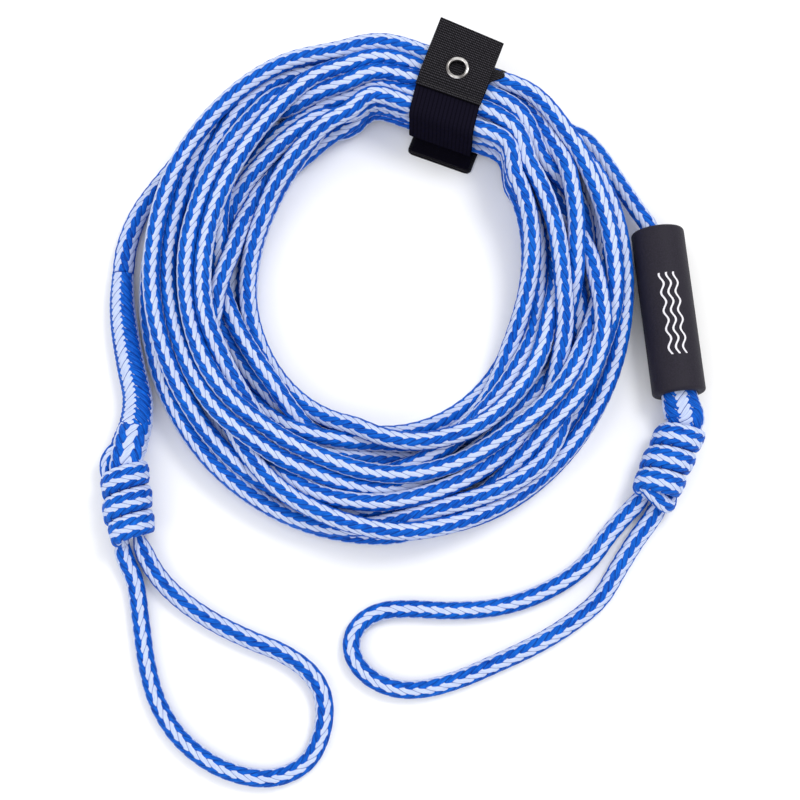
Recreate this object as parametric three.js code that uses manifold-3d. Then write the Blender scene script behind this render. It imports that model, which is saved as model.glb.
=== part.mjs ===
// Tow rope for an inflatable: one long braided rope wound into a round coil. Each end of the rope
// is spliced into an eye loop and wrapped with a barrel knot. A foam float rides on one end, and a
// webbing keeper strap with a hook-and-loop closure and a grommet tab holds the coil together.
//
// Millimetres, +Z up, with the floor at z = 0. The rope lies flat on the floor. The group is
// centred on its own bounding box at the end, so the origin is the middle of the underside.

import * as THREE from 'three';
import { mergeVertices } from 'three/addons/utils/BufferGeometryUtils.js';
import Module from 'manifold-3d';

const wasm = await Module();
wasm.setup();

// ---- driving dimensions -------------------------------------------------------------------------

const GAP = 0.3;                  // air kept between two pieces that touch

const ROPE_D = 12.7;              // half-inch hollow-braid rope
const ROPE_SIDES = 10;            // sides of the rope's section
const ROPE_STEP = 2 * ROPE_D;     // length of one straight step along the rope
const SPLICE_D = 18;              // rope with its own tail buried inside it
const FLOAT_SPLICE_D = 19.6;      // the splice that fills the float's bore
const REST = 0.1;                 // air between the float and the floor

const COIL_A = 132;               // middle of the coil's bundle, half-width along X
const COIL_B = 140;               // the same along Y
const COIL_W = 84;                // width of the loose bundle
const COIL_H = 34;                // height of the loose bundle
const COIL_CORNER = 15;           // rounding of the bundle's section
const COIL_SEGMENTS = 72;
const SQUEEZED_W = 58;            // width of the bundle inside the strap
const SQUEEZED_H = 45;            // its height there
const SQUEEZE_FLAT = 15;          // degrees each side of the strap where the bundle is fully squeezed
const SQUEEZE_END = 52;           // degrees each side where the bundle is loose again
const STRAIGHT_END = 34;          // degrees each side where it follows the coil's curve again

const STRAP_AT = 70;              // the strap's place round the coil, degrees from +X
const STRAP_TURN = -20.4;         // its direction, degrees from +Y, seen from above
const WEB_W = 48;                 // two-inch webbing
const WEB_T = 1.5;
const BAND_SHIFT = 7.5;           // the band lies this far to the right of the tab
const BAND_TIP = 38.5;            // the band's free end, inwards of the bundle's middle
const BAND_START = 3.5;           // the band's sewn end under the tab
const HOOK_W = 47;
const HOOK_T = 1.5;
const HOOK_SHIFT = 3;
const HOOK_BACK = 10;             // how far the hook tape runs back under the bundle
const LOOP_W = 44;
const LOOP_T = 1.5;
const LOOP_INSET = 2;             // the loop tape stops short of the band's tip
const TAB_START = -4.3;           // the tab's sewn end, outwards of the bundle's middle
const TAB_TIP = 48;               // the tab's free end
const TAB_RISE = 2.2;             // the tab lifts off the band to clear the grommet's back
const SEAM_LENGTH = 5.5;          // the flat, sewn part of the tab
const TAB_RAMP = 4;               // length over which it rises
const BEND_SHARE = 0.8;           // the tapes bend this much tighter than the bundle's own corner

const EYELET_AT = 15.3;           // the grommet's place, outwards of the bundle's middle
const EYELET_HOLE_R = 5.5;        // open radius of the grommet
const EYELET_WALL = 0.6;
const EYELET_FLANGE = 2.6;        // width of the flange outside the barrel
const EYELET_FLANGE_T = 0.9;
const WASHER_T = 0.5;
const CURL_T = 0.5;               // rolled end of the barrel, under the washer
const CURL_W = 0.8;

const FLOAT_D = 37;
const FLOAT_L = 118;
const BORE_CLEARANCE = 1.2;       // air round the splice in the float's bore
const FLOAT_BORE_D = FLOAT_SPLICE_D + 2 * BORE_CLEARANCE;
const FLOAT_CLEAR = 4.7;          // air between the coil's widest place and the float's middle
const FLOAT_BACK = 19.5;          // how far the float's middle lies in front of the coil's
const FLOAT_TURN = 5.7;           // the float's axis, degrees from Y, seen from above
const FLOAT_MIDDLE = [COIL_A + COIL_W / 2 + FLOAT_CLEAR + FLOAT_D / 2, -FLOAT_BACK, FLOAT_D / 2 + REST];
const FLOAT_EDGE = 4;             // rounding of the float's ends
const FLOAT_MOUTH = 1.5;          // rounding of the bore's mouth

const KNOT_D = 34;                // wraps of the barrel knot
const KNOT_Z = KNOT_D / 2 + 2 * REST;
const KNOT_FACE_D = 24;           // flat face at each end of the knot
const KNOT_SHOULDER = 7;          // length over which the wraps close in
const LEG_Z = 8;                  // height of the eye's two legs where they leave the knot
const LEG_GAP = 0.8;              // air between the two legs

// ---- where the rope's free stretches lie --------------------------------------------------------
// Points on the rope's middle line, in millimetres from the coil's centre. The stretch that the
// float holds, and what follows it, is placed from the float's middle.

const besideFloat = ([x, y, z]) => [FLOAT_MIDDLE[0] + x, FLOAT_MIDDLE[1] + y, z];
const inFloat = ([x, y, z]) => besideFloat([x, y, FLOAT_MIDDLE[2] + z]);

const LEFT_LEAD = [
  [-110, 150, 6.6], [-129, 133, 6.6], [-147, 113, 6.6], [-163, 92, 6.6], [-175, 70, 6.6],
  [-182, 50, 6.6], [-185, 30, 6.6], [-185, 11, 6.8],
];
const LEFT_SPLICE = [
  [-184.9, 10.4, 9.3], [-184.5, -12, 9.3], [-181.5, -34, 9.3], [-176.5, -58, 9.3],
  [-171.5, -80, 9.6], [-172, -98, 12], [-175, -112, 15.3], [-177.6, -124.5, 17],
];
const LEFT_KNOT = [[-178, -129, KNOT_Z], [-172, -179, KNOT_Z]];
const LEFT_EYE = [
  [-170, -206, 6.6], [-165, -234, 6.6], [-160, -262, 6.6], [-152, -287, 6.6], [-138, -308.5, 6.6],
  [-118, -325, 6.6], [-97, -334, 6.6], [-79, -336.5, 6.6], [-64, -333.5, 6.6], [-51, -325, 6.6],
  [-43, -310.5, 6.6], [-40, -292, 6.6], [-43, -278, 6.6], [-52, -265.5, 6.6], [-69, -254, 6.6],
  [-91, -245, 6.6], [-114, -234, 6.6], [-137, -219, 6.6], [-154, -202.5, 6.6],
];
const RIGHT_LEAD = [
  [134, 127, 6.6], [143.5, 116, 6.6], [152.5, 103, 7], [161, 88, 8.5], [170.5, 71, 11.5],
  [179.5, 54.5, 15], [184, 47, 16.8],
  ...[
    [-9.4, 58.5, -0.6], [-6.2, 46.5, -0.1], [-3.4, 29.5, 0], [-1.3, 11.5, 0],
  ].map(inFloat),
];
const RIGHT_SPLICE = [
  [-1.1, 10.9, 0], [1, -10.5, 0], [3, -30.5, 0], [5, -50.5, 0], [6.6, -63.5, -0.1],
  [8, -70, -0.4], [9.2, -75.1, -0.8],
].map(inFloat);
const RIGHT_KNOT = [[7.8, -81.5, KNOT_Z], [-14.2, -128.5, KNOT_Z]].map(besideFloat);
const RIGHT_EYE = [
  [-32.2, -141, 6.8], [-44.2, -154.5, 6.6], [-57.2, -171.5, 6.6], [-76.2, -186.5, 6.6],
  [-100.2, -198, 6.6], [-123.2, -204, 6.6], [-152.2, -206, 6.6], [-181.2, -205, 6.6],
  [-199.2, -206.5, 6.6], [-211.2, -212.5, 6.6], [-218.2, -222, 6.6], [-219.2, -232.5, 6.6],
  [-214.2, -243.5, 6.6], [-203.2, -253, 6.6], [-187.2, -258.5, 6.6], [-169.2, -258, 6.6],
  [-147.2, -252, 6.6], [-123.2, -242, 6.6], [-94.2, -228.5, 6.6], [-71.2, -214.5, 6.6],
  [-51.2, -198, 6.6], [-36.7, -175.5, 6.6], [-25.7, -158.5, 6.8],
].map(besideFloat);

// ---- materials ----------------------------------------------------------------------------------

const material = (color, roughness, metalness = 0) =>
  new THREE.MeshStandardMaterial({ color, roughness, metalness });

const braid = () => material(0x2a6fe0, 0.65);
const webbing = () => material(0x17171a, 0.8);
const nickel = () => material(0xc9c6bf, 0.25, 1);

// ---- helpers ------------------------------------------------------------------------------------

const radians = THREE.MathUtils.degToRad;
const vector = ([x, y, z]) => new THREE.Vector3(x, y, z);

// Drops normals and texture coordinates and merges shared corners, which leaves one closed mesh.
function closed(geometry) {
  geometry.deleteAttribute('normal');
  geometry.deleteAttribute('uv');
  return mergeVertices(geometry, 1e-4);
}

function named(name, geometry, finish) {
  const mesh = new THREE.Mesh(closed(geometry), finish);
  mesh.name = name;
  return mesh;
}

function toManifold(geometry) {
  const merged = closed(geometry);
  return new wasm.Manifold(new wasm.Mesh({
    numProp: 3,
    vertProperties: new Float32Array(merged.attributes.position.array),
    triVerts: new Uint32Array(merged.index.array),
  }));
}

function fromManifold(solid) {
  const mesh = solid.getMesh();
  const geometry = new THREE.BufferGeometry();
  geometry.setAttribute('position', new THREE.BufferAttribute(new Float32Array(mesh.vertProperties), 3));
  geometry.setIndex(new THREE.BufferAttribute(new Uint32Array(mesh.triVerts), 1));
  return geometry;
}

// A round section swept along a smooth curve through the points.
function ropeAlong(points, diameter) {
  const curve = new THREE.CatmullRomCurve3(points, false, 'centripetal');
  const section = new THREE.Shape();
  for (let i = 0; i < ROPE_SIDES; i++) {
    const angle = (2 * Math.PI * i) / ROPE_SIDES;
    const x = (diameter / 2) * Math.cos(angle);
    const y = (diameter / 2) * Math.sin(angle);
    if (i === 0) section.moveTo(x, y);
    else section.lineTo(x, y);
  }
  section.closePath();
  const steps = Math.max(3, Math.round(curve.getLength() / ROPE_STEP));
  return new THREE.ExtrudeGeometry(section, { steps, extrudePath: curve, curveSegments: ROPE_SIDES });
}

// A rounded rectangle, as points that run anticlockwise, from x0 to x1 and from y0 to y1.
function roundedBox(x0, x1, y0, y1, radius, stepsPerCorner = 5) {
  const corners = [[x1 - radius, y0 + radius], [x1 - radius, y1 - radius],
    [x0 + radius, y1 - radius], [x0 + radius, y0 + radius]];
  const points = [];
  corners.forEach(([cx, cy], quarter) => {
    for (let i = 0; i <= stepsPerCorner; i++) {
      const angle = (Math.PI / 2) * (quarter - 1 + i / stepsPerCorner);
      points.push(new THREE.Vector2(cx + radius * Math.cos(angle), cy + radius * Math.sin(angle)));
    }
  });
  return points;
}

// A closed profile of radius and height, turned round Z.
function turned(profile, segments = 40) {
  return new THREE.LatheGeometry([...profile, profile[0].clone()], segments).rotateX(Math.PI / 2);
}

// ---- the strap's own frame: X outwards across the bundle, Y across the strap, Z up --------------

const strapMiddle = new THREE.Vector3(
  COIL_A * Math.cos(radians(STRAP_AT)), COIL_B * Math.sin(radians(STRAP_AT)), 0);
const bandZ = WEB_T / 2;
const loopZ = WEB_T + GAP + LOOP_T / 2;
const hookZ = loopZ + LOOP_T / 2 + GAP + HOOK_T / 2;
const bundleFloor = hookZ + HOOK_T / 2 + GAP;
const bundleTop = bundleFloor + SQUEEZED_H;
const bundleSide = SQUEEZED_W / 2;
const tabFloor = bundleTop + GAP + Math.max(WEB_T, HOOK_T) + GAP;

const strapFrame = new THREE.Group();
strapFrame.position.copy(strapMiddle);
strapFrame.rotation.z = Math.PI / 2 + radians(STRAP_TURN);

// Places a point that is given across the bundle, across the strap and up.
const inStrap = (across, along, z) => new THREE.Vector3(across, along, z)
  .applyAxisAngle(new THREE.Vector3(0, 0, 1), Math.PI / 2 + radians(STRAP_TURN))
  .add(strapMiddle);

// A flat tape that follows a path of [across, height] corners, each turned with its own radius.
function tape(corners, thickness, width) {
  const line = [];
  corners.forEach(([x, z, radius], i) => {
    if (!radius) return line.push(new THREE.Vector2(x, z));
    const here = new THREE.Vector2(x, z);
    const back = new THREE.Vector2(corners[i - 1][0], corners[i - 1][1]).sub(here).normalize();
    const on = new THREE.Vector2(corners[i + 1][0], corners[i + 1][1]).sub(here).normalize();
    const half = Math.acos(THREE.MathUtils.clamp(back.dot(on), -1, 1)) / 2;
    const centre = here.clone().add(back.clone().add(on).normalize().multiplyScalar(radius / Math.sin(half)));
    const from = here.clone().addScaledVector(back, radius / Math.tan(half)).sub(centre);
    const to = here.clone().addScaledVector(on, radius / Math.tan(half)).sub(centre);
    const sweep = Math.atan2(from.cross(to), from.dot(to));
    const steps = 8;
    for (let k = 0; k <= steps; k++) {
      line.push(from.clone().rotateAround(new THREE.Vector2(), (sweep * k) / steps).add(centre));
    }
    return line;
  });
  const side = (sign) => line.map((point, i) => {
    const before = line[Math.max(i - 1, 0)];
    const after = line[Math.min(i + 1, line.length - 1)];
    const along = after.clone().sub(before).normalize();
    return new THREE.Vector2(point.x - sign * along.y * thickness / 2, point.y + sign * along.x * thickness / 2);
  });
  const outline = [...side(1), ...side(-1).reverse()];
  return new THREE.ExtrudeGeometry(new THREE.Shape(outline), { depth: width, bevelEnabled: false })
    .rotateX(Math.PI / 2)
    .translate(0, width / 2, 0);
}

// ---- the coil -----------------------------------------------------------------------------------
// A ring with a rounded section. Near the strap the section closes in and rises over the strap's
// three layers, and the bundle runs straight through the strap.

function coilSolid() {
  const section = roundedBox(-COIL_W / 2, COIL_W / 2, 0, COIL_H, COIL_CORNER);
  const ring = turned(section.map((p) => new THREE.Vector2(COIL_A + p.x, p.y)), COIL_SEGMENTS);
  const place = ring.attributes.position;
  const strapAngle = Math.atan2(strapMiddle.y / COIL_B, strapMiddle.x / COIL_A);
  const flat = radians(SQUEEZE_FLAT);
  const end = radians(SQUEEZE_END);
  const curved = radians(STRAIGHT_END);
  for (let i = 0; i < place.count; i++) {
    const angle = Math.atan2(place.getY(i), place.getX(i));
    const across = Math.hypot(place.getX(i), place.getY(i)) - COIL_A;
    const from = Math.atan2(Math.sin(angle - strapAngle), Math.cos(angle - strapAngle));
    const squeeze = 1 - THREE.MathUtils.smoothstep(Math.abs(from), flat, end);
    const width = THREE.MathUtils.lerp(COIL_W, SQUEEZED_W, squeeze) / COIL_W;
    const height = THREE.MathUtils.lerp(COIL_H, SQUEEZED_H, squeeze) / COIL_H;
    const loose = new THREE.Vector3(
      (COIL_A + across * width) * Math.cos(angle), (COIL_B + across * width) * Math.sin(angle), 0);
    const straight = inStrap(across * width, COIL_B * from, 0);
    const spot = loose.lerp(straight, 1 - THREE.MathUtils.smoothstep(Math.abs(from), flat, curved));
    place.setXYZ(i, spot.x, spot.y, place.getZ(i) * height + squeeze * bundleFloor);
  }
  return ring;
}

// ---- knots and eyes -----------------------------------------------------------------------------

const axisOf = ([top, bottom]) => vector(bottom).sub(vector(top)).normalize();

function knotSolid(ends) {
  const length = vector(ends[0]).distanceTo(vector(ends[1]));
  const face = KNOT_FACE_D / 2;
  const profile = [new THREE.Vector2(0, 0), new THREE.Vector2(face, 0)];
  for (let i = 1; i <= 4; i++) {
    const turn = (Math.PI / 2) * (i / 4);
    profile.push(new THREE.Vector2(
      face + (KNOT_D / 2 - face) * Math.sin(turn), KNOT_SHOULDER * (1 - Math.cos(turn))));
  }
  const far = profile.slice().reverse().map((p) => new THREE.Vector2(p.x, length - p.y));
  const barrel = new THREE.LatheGeometry([...profile, ...far], 24);
  const turn = new THREE.Quaternion().setFromUnitVectors(new THREE.Vector3(0, 1, 0), axisOf(ends));
  const middle = vector(ends[0]);
  return barrel.applyQuaternion(turn).translate(middle.x, middle.y, middle.z);
}

// The two places where an eye's legs leave its knot, side by side on one level line.
function legEnds(knot) {
  const axis = axisOf(knot);
  const side = new THREE.Vector3(axis.y, -axis.x, 0);
  const mouth = vector(knot[1]).addScaledVector(axis, ROPE_D / 2 + GAP);
  mouth.z = LEG_Z;
  const apart = (ROPE_D + LEG_GAP) / 2;
  return [mouth.clone().addScaledVector(side, apart), mouth.clone().addScaledVector(side, -apart)];
}

// An eye is one rope that leaves the knot and comes back. Each leg ends in a ball, on the line
// about which the eye lifts, so that it turns without touching the knot.
function eyeSolid(route, knot) {
  const [first, last] = legEnds(knot);
  let eye = toManifold(ropeAlong([first, ...route.map(vector), last], ROPE_D));
  for (const leg of [first, last]) {
    const ball = new THREE.SphereGeometry(ROPE_D / 2, 16, 10).translate(leg.x, leg.y, leg.z);
    eye = eye.add(toManifold(ball));
  }
  return fromManifold(eye);
}

// ---- the float ----------------------------------------------------------------------------------

function floatMesh() {
  const bore = FLOAT_BORE_D / 2;
  const outer = FLOAT_D / 2;
  const half = FLOAT_L / 2;
  const profile = [];
  const corner = (cx, cy, radius, start) => {
    for (let i = 0; i <= 4; i++) {
      const angle = start + (Math.PI / 2) * (i / 4);
      profile.push(new THREE.Vector2(cx + radius * Math.cos(angle), cy + radius * Math.sin(angle)));
    }
  };
  corner(outer - FLOAT_EDGE, -half + FLOAT_EDGE, FLOAT_EDGE, -Math.PI / 2);
  corner(outer - FLOAT_EDGE, half - FLOAT_EDGE, FLOAT_EDGE, 0);
  corner(bore + FLOAT_MOUTH, half - FLOAT_MOUTH, FLOAT_MOUTH, Math.PI / 2);
  corner(bore + FLOAT_MOUTH, -half + FLOAT_MOUTH, FLOAT_MOUTH, Math.PI);
  const tube = named('float', new THREE.LatheGeometry([...profile, profile[0].clone()], 40), material(0x2b282c, 0.85));
  tube.position.set(...FLOAT_MIDDLE);
  tube.rotation.z = radians(FLOAT_TURN);
  return tube;
}

// ---- the strap ----------------------------------------------------------------------------------

// The band starts under the tab, goes round the bundle's outer side and back underneath it. Its
// free end, with the loop tape sewn on, stands out past the inner side as a pull tab.
function bandMesh() {
  const top = bundleTop + GAP + WEB_T / 2;
  const outer = bundleSide + GAP + WEB_T / 2;
  const bend = COIL_CORNER * BEND_SHARE + GAP + WEB_T / 2;
  const path = [[BAND_START, top], [outer, top, bend], [outer, bandZ, bend], [-BAND_TIP, bandZ]];
  const mesh = named('strap_band', tape(path, WEB_T, WEB_W), webbing());
  mesh.position.y = -BAND_SHIFT;
  return mesh;
}

// The hook tape faces outwards. It is sewn under the tab's inner end, goes round the bundle's inner
// side and meets the loop tape underneath.
function hookMesh() {
  const top = bundleTop + GAP + HOOK_T / 2;
  const inner = -(bundleSide + GAP + HOOK_T / 2);
  const bend = COIL_CORNER * BEND_SHARE + GAP + HOOK_T / 2;
  const path = [[BAND_START - GAP, top], [inner, top, bend], [inner, hookZ, bend], [HOOK_BACK, hookZ]];
  const mesh = named('hook_tape', tape(path, HOOK_T, HOOK_W), webbing());
  mesh.position.y = -HOOK_SHIFT;
  return mesh;
}

function loopMesh() {
  const path = [[-BAND_TIP + LOOP_INSET, loopZ], [HOOK_BACK, loopZ]];
  const mesh = named('loop_tape', tape(path, LOOP_T, LOOP_W), webbing());
  mesh.position.y = -BAND_SHIFT;
  return mesh;
}

const eyeletOuter = EYELET_HOLE_R + EYELET_WALL;
const tabZ = tabFloor + TAB_RISE;           // underside of the tab's raised part

function tabMesh() {
  const seamEnd = TAB_START + SEAM_LENGTH;
  const middle = WEB_T / 2;
  const path = [[TAB_START, tabFloor + middle], [seamEnd - 1.5, tabFloor + middle],
    [seamEnd, tabFloor + middle + 0.4], [seamEnd + TAB_RAMP - 1, tabZ + middle - 0.2],
    [seamEnd + TAB_RAMP, tabZ + middle], [TAB_TIP, tabZ + middle]];
  const blank = toManifold(tape(path, WEB_T, WEB_W));
  const punch = new THREE.CylinderGeometry(eyeletOuter + GAP, eyeletOuter + GAP, 4 * WEB_T, 32)
    .rotateX(Math.PI / 2)
    .translate(EYELET_AT, 0, tabZ + middle);
  return named('hang_tab', fromManifold(blank.subtract(toManifold(punch))), webbing());
}

// The grommet is a flanged barrel through the tab, rolled over the washer on the back.
function grommetMesh() {
  const flangeR = eyeletOuter + EYELET_FLANGE;
  const top = tabZ + WEB_T + GAP;
  const rolled = tabZ - 2 * GAP - WASHER_T;
  const profile = [
    [EYELET_HOLE_R, rolled - CURL_T + 0.2], [EYELET_HOLE_R + 0.2, rolled - CURL_T],
    [eyeletOuter + CURL_W, rolled - CURL_T], [eyeletOuter + CURL_W, rolled], [eyeletOuter, rolled],
    [eyeletOuter, top], [flangeR - 0.2, top], [flangeR, top + 0.2], [flangeR - 0.3, top + 0.6],
    [flangeR - 1, top + EYELET_FLANGE_T], [EYELET_HOLE_R + 1, top + EYELET_FLANGE_T],
    [EYELET_HOLE_R + 0.3, top + 0.6], [EYELET_HOLE_R, top + 0.1],
  ].map(([r, z]) => new THREE.Vector2(r, z));
  const mesh = named('grommet', turned(profile, 36), nickel());
  mesh.position.x = EYELET_AT;
  return mesh;
}

function washerMesh() {
  const inner = eyeletOuter + GAP;
  const outer = eyeletOuter + EYELET_FLANGE;
  const low = tabZ - GAP - WASHER_T;
  const mesh = named('grommet_washer', turned(roundedBox(inner, outer, low, low + WASHER_T, 0.15, 2), 36), nickel());
  mesh.position.x = EYELET_AT;
  return mesh;
}

// ---- the assembly -------------------------------------------------------------------------------

const towRope = new THREE.Group();
towRope.add(named('rope_coil', coilSolid(), braid()));
towRope.add(named('left_lead', ropeAlong(LEFT_LEAD.map(vector), ROPE_D), braid()));
towRope.add(named('left_splice', ropeAlong(LEFT_SPLICE.map(vector), SPLICE_D), braid()));
towRope.add(named('left_knot', knotSolid(LEFT_KNOT), braid()));
towRope.add(named('left_eye', eyeSolid(LEFT_EYE, LEFT_KNOT), braid()));
towRope.add(named('right_lead', ropeAlong(RIGHT_LEAD.map(vector), ROPE_D), braid()));
towRope.add(named('right_splice', ropeAlong(RIGHT_SPLICE.map(vector), FLOAT_SPLICE_D), braid()));
towRope.add(named('right_knot', knotSolid(RIGHT_KNOT), braid()));
towRope.add(named('right_eye', eyeSolid(RIGHT_EYE, RIGHT_KNOT), braid()));
towRope.add(floatMesh());

strapFrame.add(bandMesh(), hookMesh(), loopMesh(), tabMesh(), grommetMesh(), washerMesh());
towRope.add(strapFrame);

// Centre the whole rope on its own footprint, standing on z = 0.
towRope.updateMatrixWorld(true);
const box = new THREE.Box3().setFromObject(towRope, true);
towRope.position.set(-(box.min.x + box.max.x) / 2, -(box.min.y + box.max.y) / 2, -box.min.z);
towRope.updateMatrixWorld(true);

export default towRope;
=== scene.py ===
# %% [markdown]
# A tow rope for a towable tube, wound into a round coil.
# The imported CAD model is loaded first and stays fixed: it says where everything is. The CAD rope is
# plain tubes and one plain ring, so every stretch of rope is made again here as a real braid, and
# the strap, the float and the knots get their own detailed meshes. All lengths are in metres.

# %% Load the frame
import math

import bmesh
import bpy
import numpy as np
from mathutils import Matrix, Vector


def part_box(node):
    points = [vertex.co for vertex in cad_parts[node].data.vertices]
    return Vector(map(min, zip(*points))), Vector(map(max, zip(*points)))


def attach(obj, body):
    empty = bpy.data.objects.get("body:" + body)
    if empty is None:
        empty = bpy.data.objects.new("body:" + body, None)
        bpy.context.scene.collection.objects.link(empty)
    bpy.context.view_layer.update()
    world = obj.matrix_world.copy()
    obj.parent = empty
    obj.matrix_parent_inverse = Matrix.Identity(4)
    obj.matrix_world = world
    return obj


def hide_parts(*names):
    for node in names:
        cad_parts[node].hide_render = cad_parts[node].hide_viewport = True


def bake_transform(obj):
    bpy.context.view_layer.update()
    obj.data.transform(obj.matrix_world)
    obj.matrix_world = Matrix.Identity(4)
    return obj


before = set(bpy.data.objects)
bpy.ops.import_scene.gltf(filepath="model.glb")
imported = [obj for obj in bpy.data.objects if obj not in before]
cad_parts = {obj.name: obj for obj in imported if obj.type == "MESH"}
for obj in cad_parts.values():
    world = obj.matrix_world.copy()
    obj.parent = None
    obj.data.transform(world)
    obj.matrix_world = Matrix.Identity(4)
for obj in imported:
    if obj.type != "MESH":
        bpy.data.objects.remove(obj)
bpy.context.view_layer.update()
bpy.ops.object.select_all(action="DESELECT")

# %% [markdown]
# The rope is half-inch hollow braid. The coil's middle line is an ellipse round a centre that the
# CAD ring's own box gives, so every later place is worked out from that centre.

# %% The rope's and the coil's sizes
MM = 0.001
ROPE_D = 12.7 * MM
ROPE_R = ROPE_D / 2
ROPE_ON_FLOOR = 6.6 * MM     # height of the rope's middle line where it lies on the floor
COIL_A = 132 * MM            # middle of the bundle, half-width along X
COIL_B = 140 * MM            # the same along Y
COIL_W = 84 * MM             # width of the loose bundle
SQUEEZED_W = 58 * MM         # its width inside the strap
STRAP_AT = 70                # the strap's place round the coil, degrees from +X
STRAP_TURN = -20.4           # the strap's direction, degrees from +Y
SQUEEZE_FLAT, SQUEEZE_END, STRAIGHT_END = 15, 52, 34

coil_low, coil_high = (np.array(corner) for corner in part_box("rope_coil"))
coil_centre = np.array([(coil_low[0] + coil_high[0]) / 2, coil_low[1] + COIL_B + COIL_W / 2, 0.0])
print("coil centre", coil_centre)

# %% [markdown]
# The camera looks almost straight down, from a little in front of the rope. It is placed by its
# height angle over a point of the floor, and the lens is long, so the far side hardly shrinks.

# %% The camera
CAMERA_HEIGHT_ANGLE = math.radians(78)
CAMERA_DISTANCE = 1.2
VIEW_WIDTH = 0.56            # what the frame takes in, at that distance
LOOK_AT = Vector(coil_centre) + Vector((10.5 * MM, -78 * MM, 0))

camera_data = bpy.data.cameras.new("camera")
camera = bpy.data.objects.new("camera", camera_data)
bpy.context.scene.collection.objects.link(camera)
back = Vector((0, -math.cos(CAMERA_HEIGHT_ANGLE), math.sin(CAMERA_HEIGHT_ANGLE)))
camera.location = LOOK_AT + back * CAMERA_DISTANCE
camera.rotation_euler = back.to_track_quat("Z", "Y").to_euler()
camera_data.lens = camera_data.sensor_width * CAMERA_DISTANCE / VIEW_WIDTH
bpy.context.scene.camera = camera
bpy.context.scene.view_settings.view_transform = "Standard"
print("lens", round(camera_data.lens, 1), "mm")

# %% [markdown]
# The free stretches of the rope lie where the CAD tubes lie. A loose rope follows no formula, so its
# route is a list of points, taken from the coil's centre, and a smooth curve runs through them. A
# centripetal curve is the safe choice, because it makes no loops where points are close together.

# %% Where the rope's free stretches lie
LEFT_LEAD = [
    (-0.151, 0.0912), (-0.164, 0.0738), (-0.1737, 0.059), (-0.180, 0.044), (-0.1838, 0.028, 0.0072),
    (-0.185, 0.011, 0.0079),
]
LEFT_SPLICE = [
    (-0.1849, 0.0104, 0.0093), (-0.1845, -0.012, 0.0093), (-0.1815, -0.034, 0.0093),
    (-0.1765, -0.058, 0.0093), (-0.1715, -0.080, 0.0096), (-0.172, -0.098, 0.012),
    (-0.175, -0.112, 0.0153), (-0.1776, -0.1245, 0.017),
]
LEFT_KNOT = [(-0.178, -0.129, 0.0172), (-0.172, -0.179, 0.0172)]
LEFT_EYE = [
    (-0.170, -0.206), (-0.165, -0.234), (-0.160, -0.262), (-0.152, -0.287), (-0.138, -0.3085),
    (-0.118, -0.325), (-0.097, -0.334), (-0.079, -0.3365), (-0.064, -0.3335), (-0.051, -0.325),
    (-0.043, -0.3105), (-0.040, -0.292), (-0.043, -0.278), (-0.052, -0.2655), (-0.069, -0.254),
    (-0.091, -0.245), (-0.114, -0.234), (-0.137, -0.219), (-0.154, -0.2025),
]
RIGHT_LEAD = [
    (0.130, 0.1193), (0.1418, 0.1135), (0.1520, 0.1025, 0.007), (0.161, 0.088, 0.0085),
    (0.1705, 0.071, 0.0115), (0.1795, 0.0545, 0.015), (0.184, 0.047, 0.0168), (0.1878, 0.039, 0.018),
    (0.191, 0.027, 0.0185), (0.1938, 0.010, 0.0186),
]
RIGHT_SPLICE = [
    (0.1938, 0.010, 0.0186), (0.1959, -0.008, 0.0186), (0.1982, -0.030, 0.0186),
    (0.2002, -0.050, 0.0186), (0.2022, -0.070, 0.0186), (0.2038, -0.083, 0.0185),
    (0.2052, -0.0895, 0.0182), (0.2064, -0.0946, 0.0178),
]
RIGHT_KNOT = [(0.205, -0.101, 0.0172), (0.183, -0.148, 0.0172)]
RIGHT_EYE = [
    (0.165, -0.1605, 0.0068), (0.153, -0.174), (0.140, -0.191), (0.121, -0.206), (0.097, -0.2175),
    (0.074, -0.2235), (0.045, -0.2255), (0.016, -0.2245), (-0.002, -0.226), (-0.014, -0.232),
    (-0.021, -0.2415), (-0.022, -0.252), (-0.017, -0.263), (-0.006, -0.2725), (0.010, -0.278),
    (0.028, -0.2775), (0.050, -0.2715), (0.074, -0.2615), (0.103, -0.248), (0.126, -0.234),
    (0.146, -0.2175), (0.1605, -0.195), (0.1715, -0.178, 0.0068),
]


def placed(points):
    """Points from the coil's centre. One with no height lies on the floor."""
    return np.array([point if len(point) == 3 else (*point, ROPE_ON_FLOOR) for point in points]) + coil_centre


CURVE_STEPS = 12             # first cuts between two points, before the even ones


def smooth_path(points, step=2 * MM):
    """A centripetal curve through the points, cut again into even steps."""
    p = np.asarray(points, dtype=float)
    p = np.vstack([2 * p[0] - p[1], p, 2 * p[-1] - p[-2]])
    knots = np.concatenate([[0], np.cumsum(np.linalg.norm(np.diff(p, axis=0), axis=1) ** 0.5)])
    out = []
    for i in range(1, len(p) - 2):
        t0, t1, t2, t3 = knots[i - 1:i + 3]
        t = np.linspace(t1, t2, CURVE_STEPS, endpoint=False)[:, None]
        a1 = (t1 - t) / (t1 - t0) * p[i - 1] + (t - t0) / (t1 - t0) * p[i]
        a2 = (t2 - t) / (t2 - t1) * p[i] + (t - t1) / (t2 - t1) * p[i + 1]
        a3 = (t3 - t) / (t3 - t2) * p[i + 1] + (t - t2) / (t3 - t2) * p[i + 2]
        b1 = (t2 - t) / (t2 - t0) * a1 + (t - t0) / (t2 - t0) * a2
        b2 = (t3 - t) / (t3 - t1) * a2 + (t - t1) / (t3 - t1) * a3
        out.append((t2 - t) / (t2 - t1) * b1 + (t - t1) / (t2 - t1) * b2)
    out.append(p[-2:-1])
    return even_steps(np.vstack(out), step)


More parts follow.
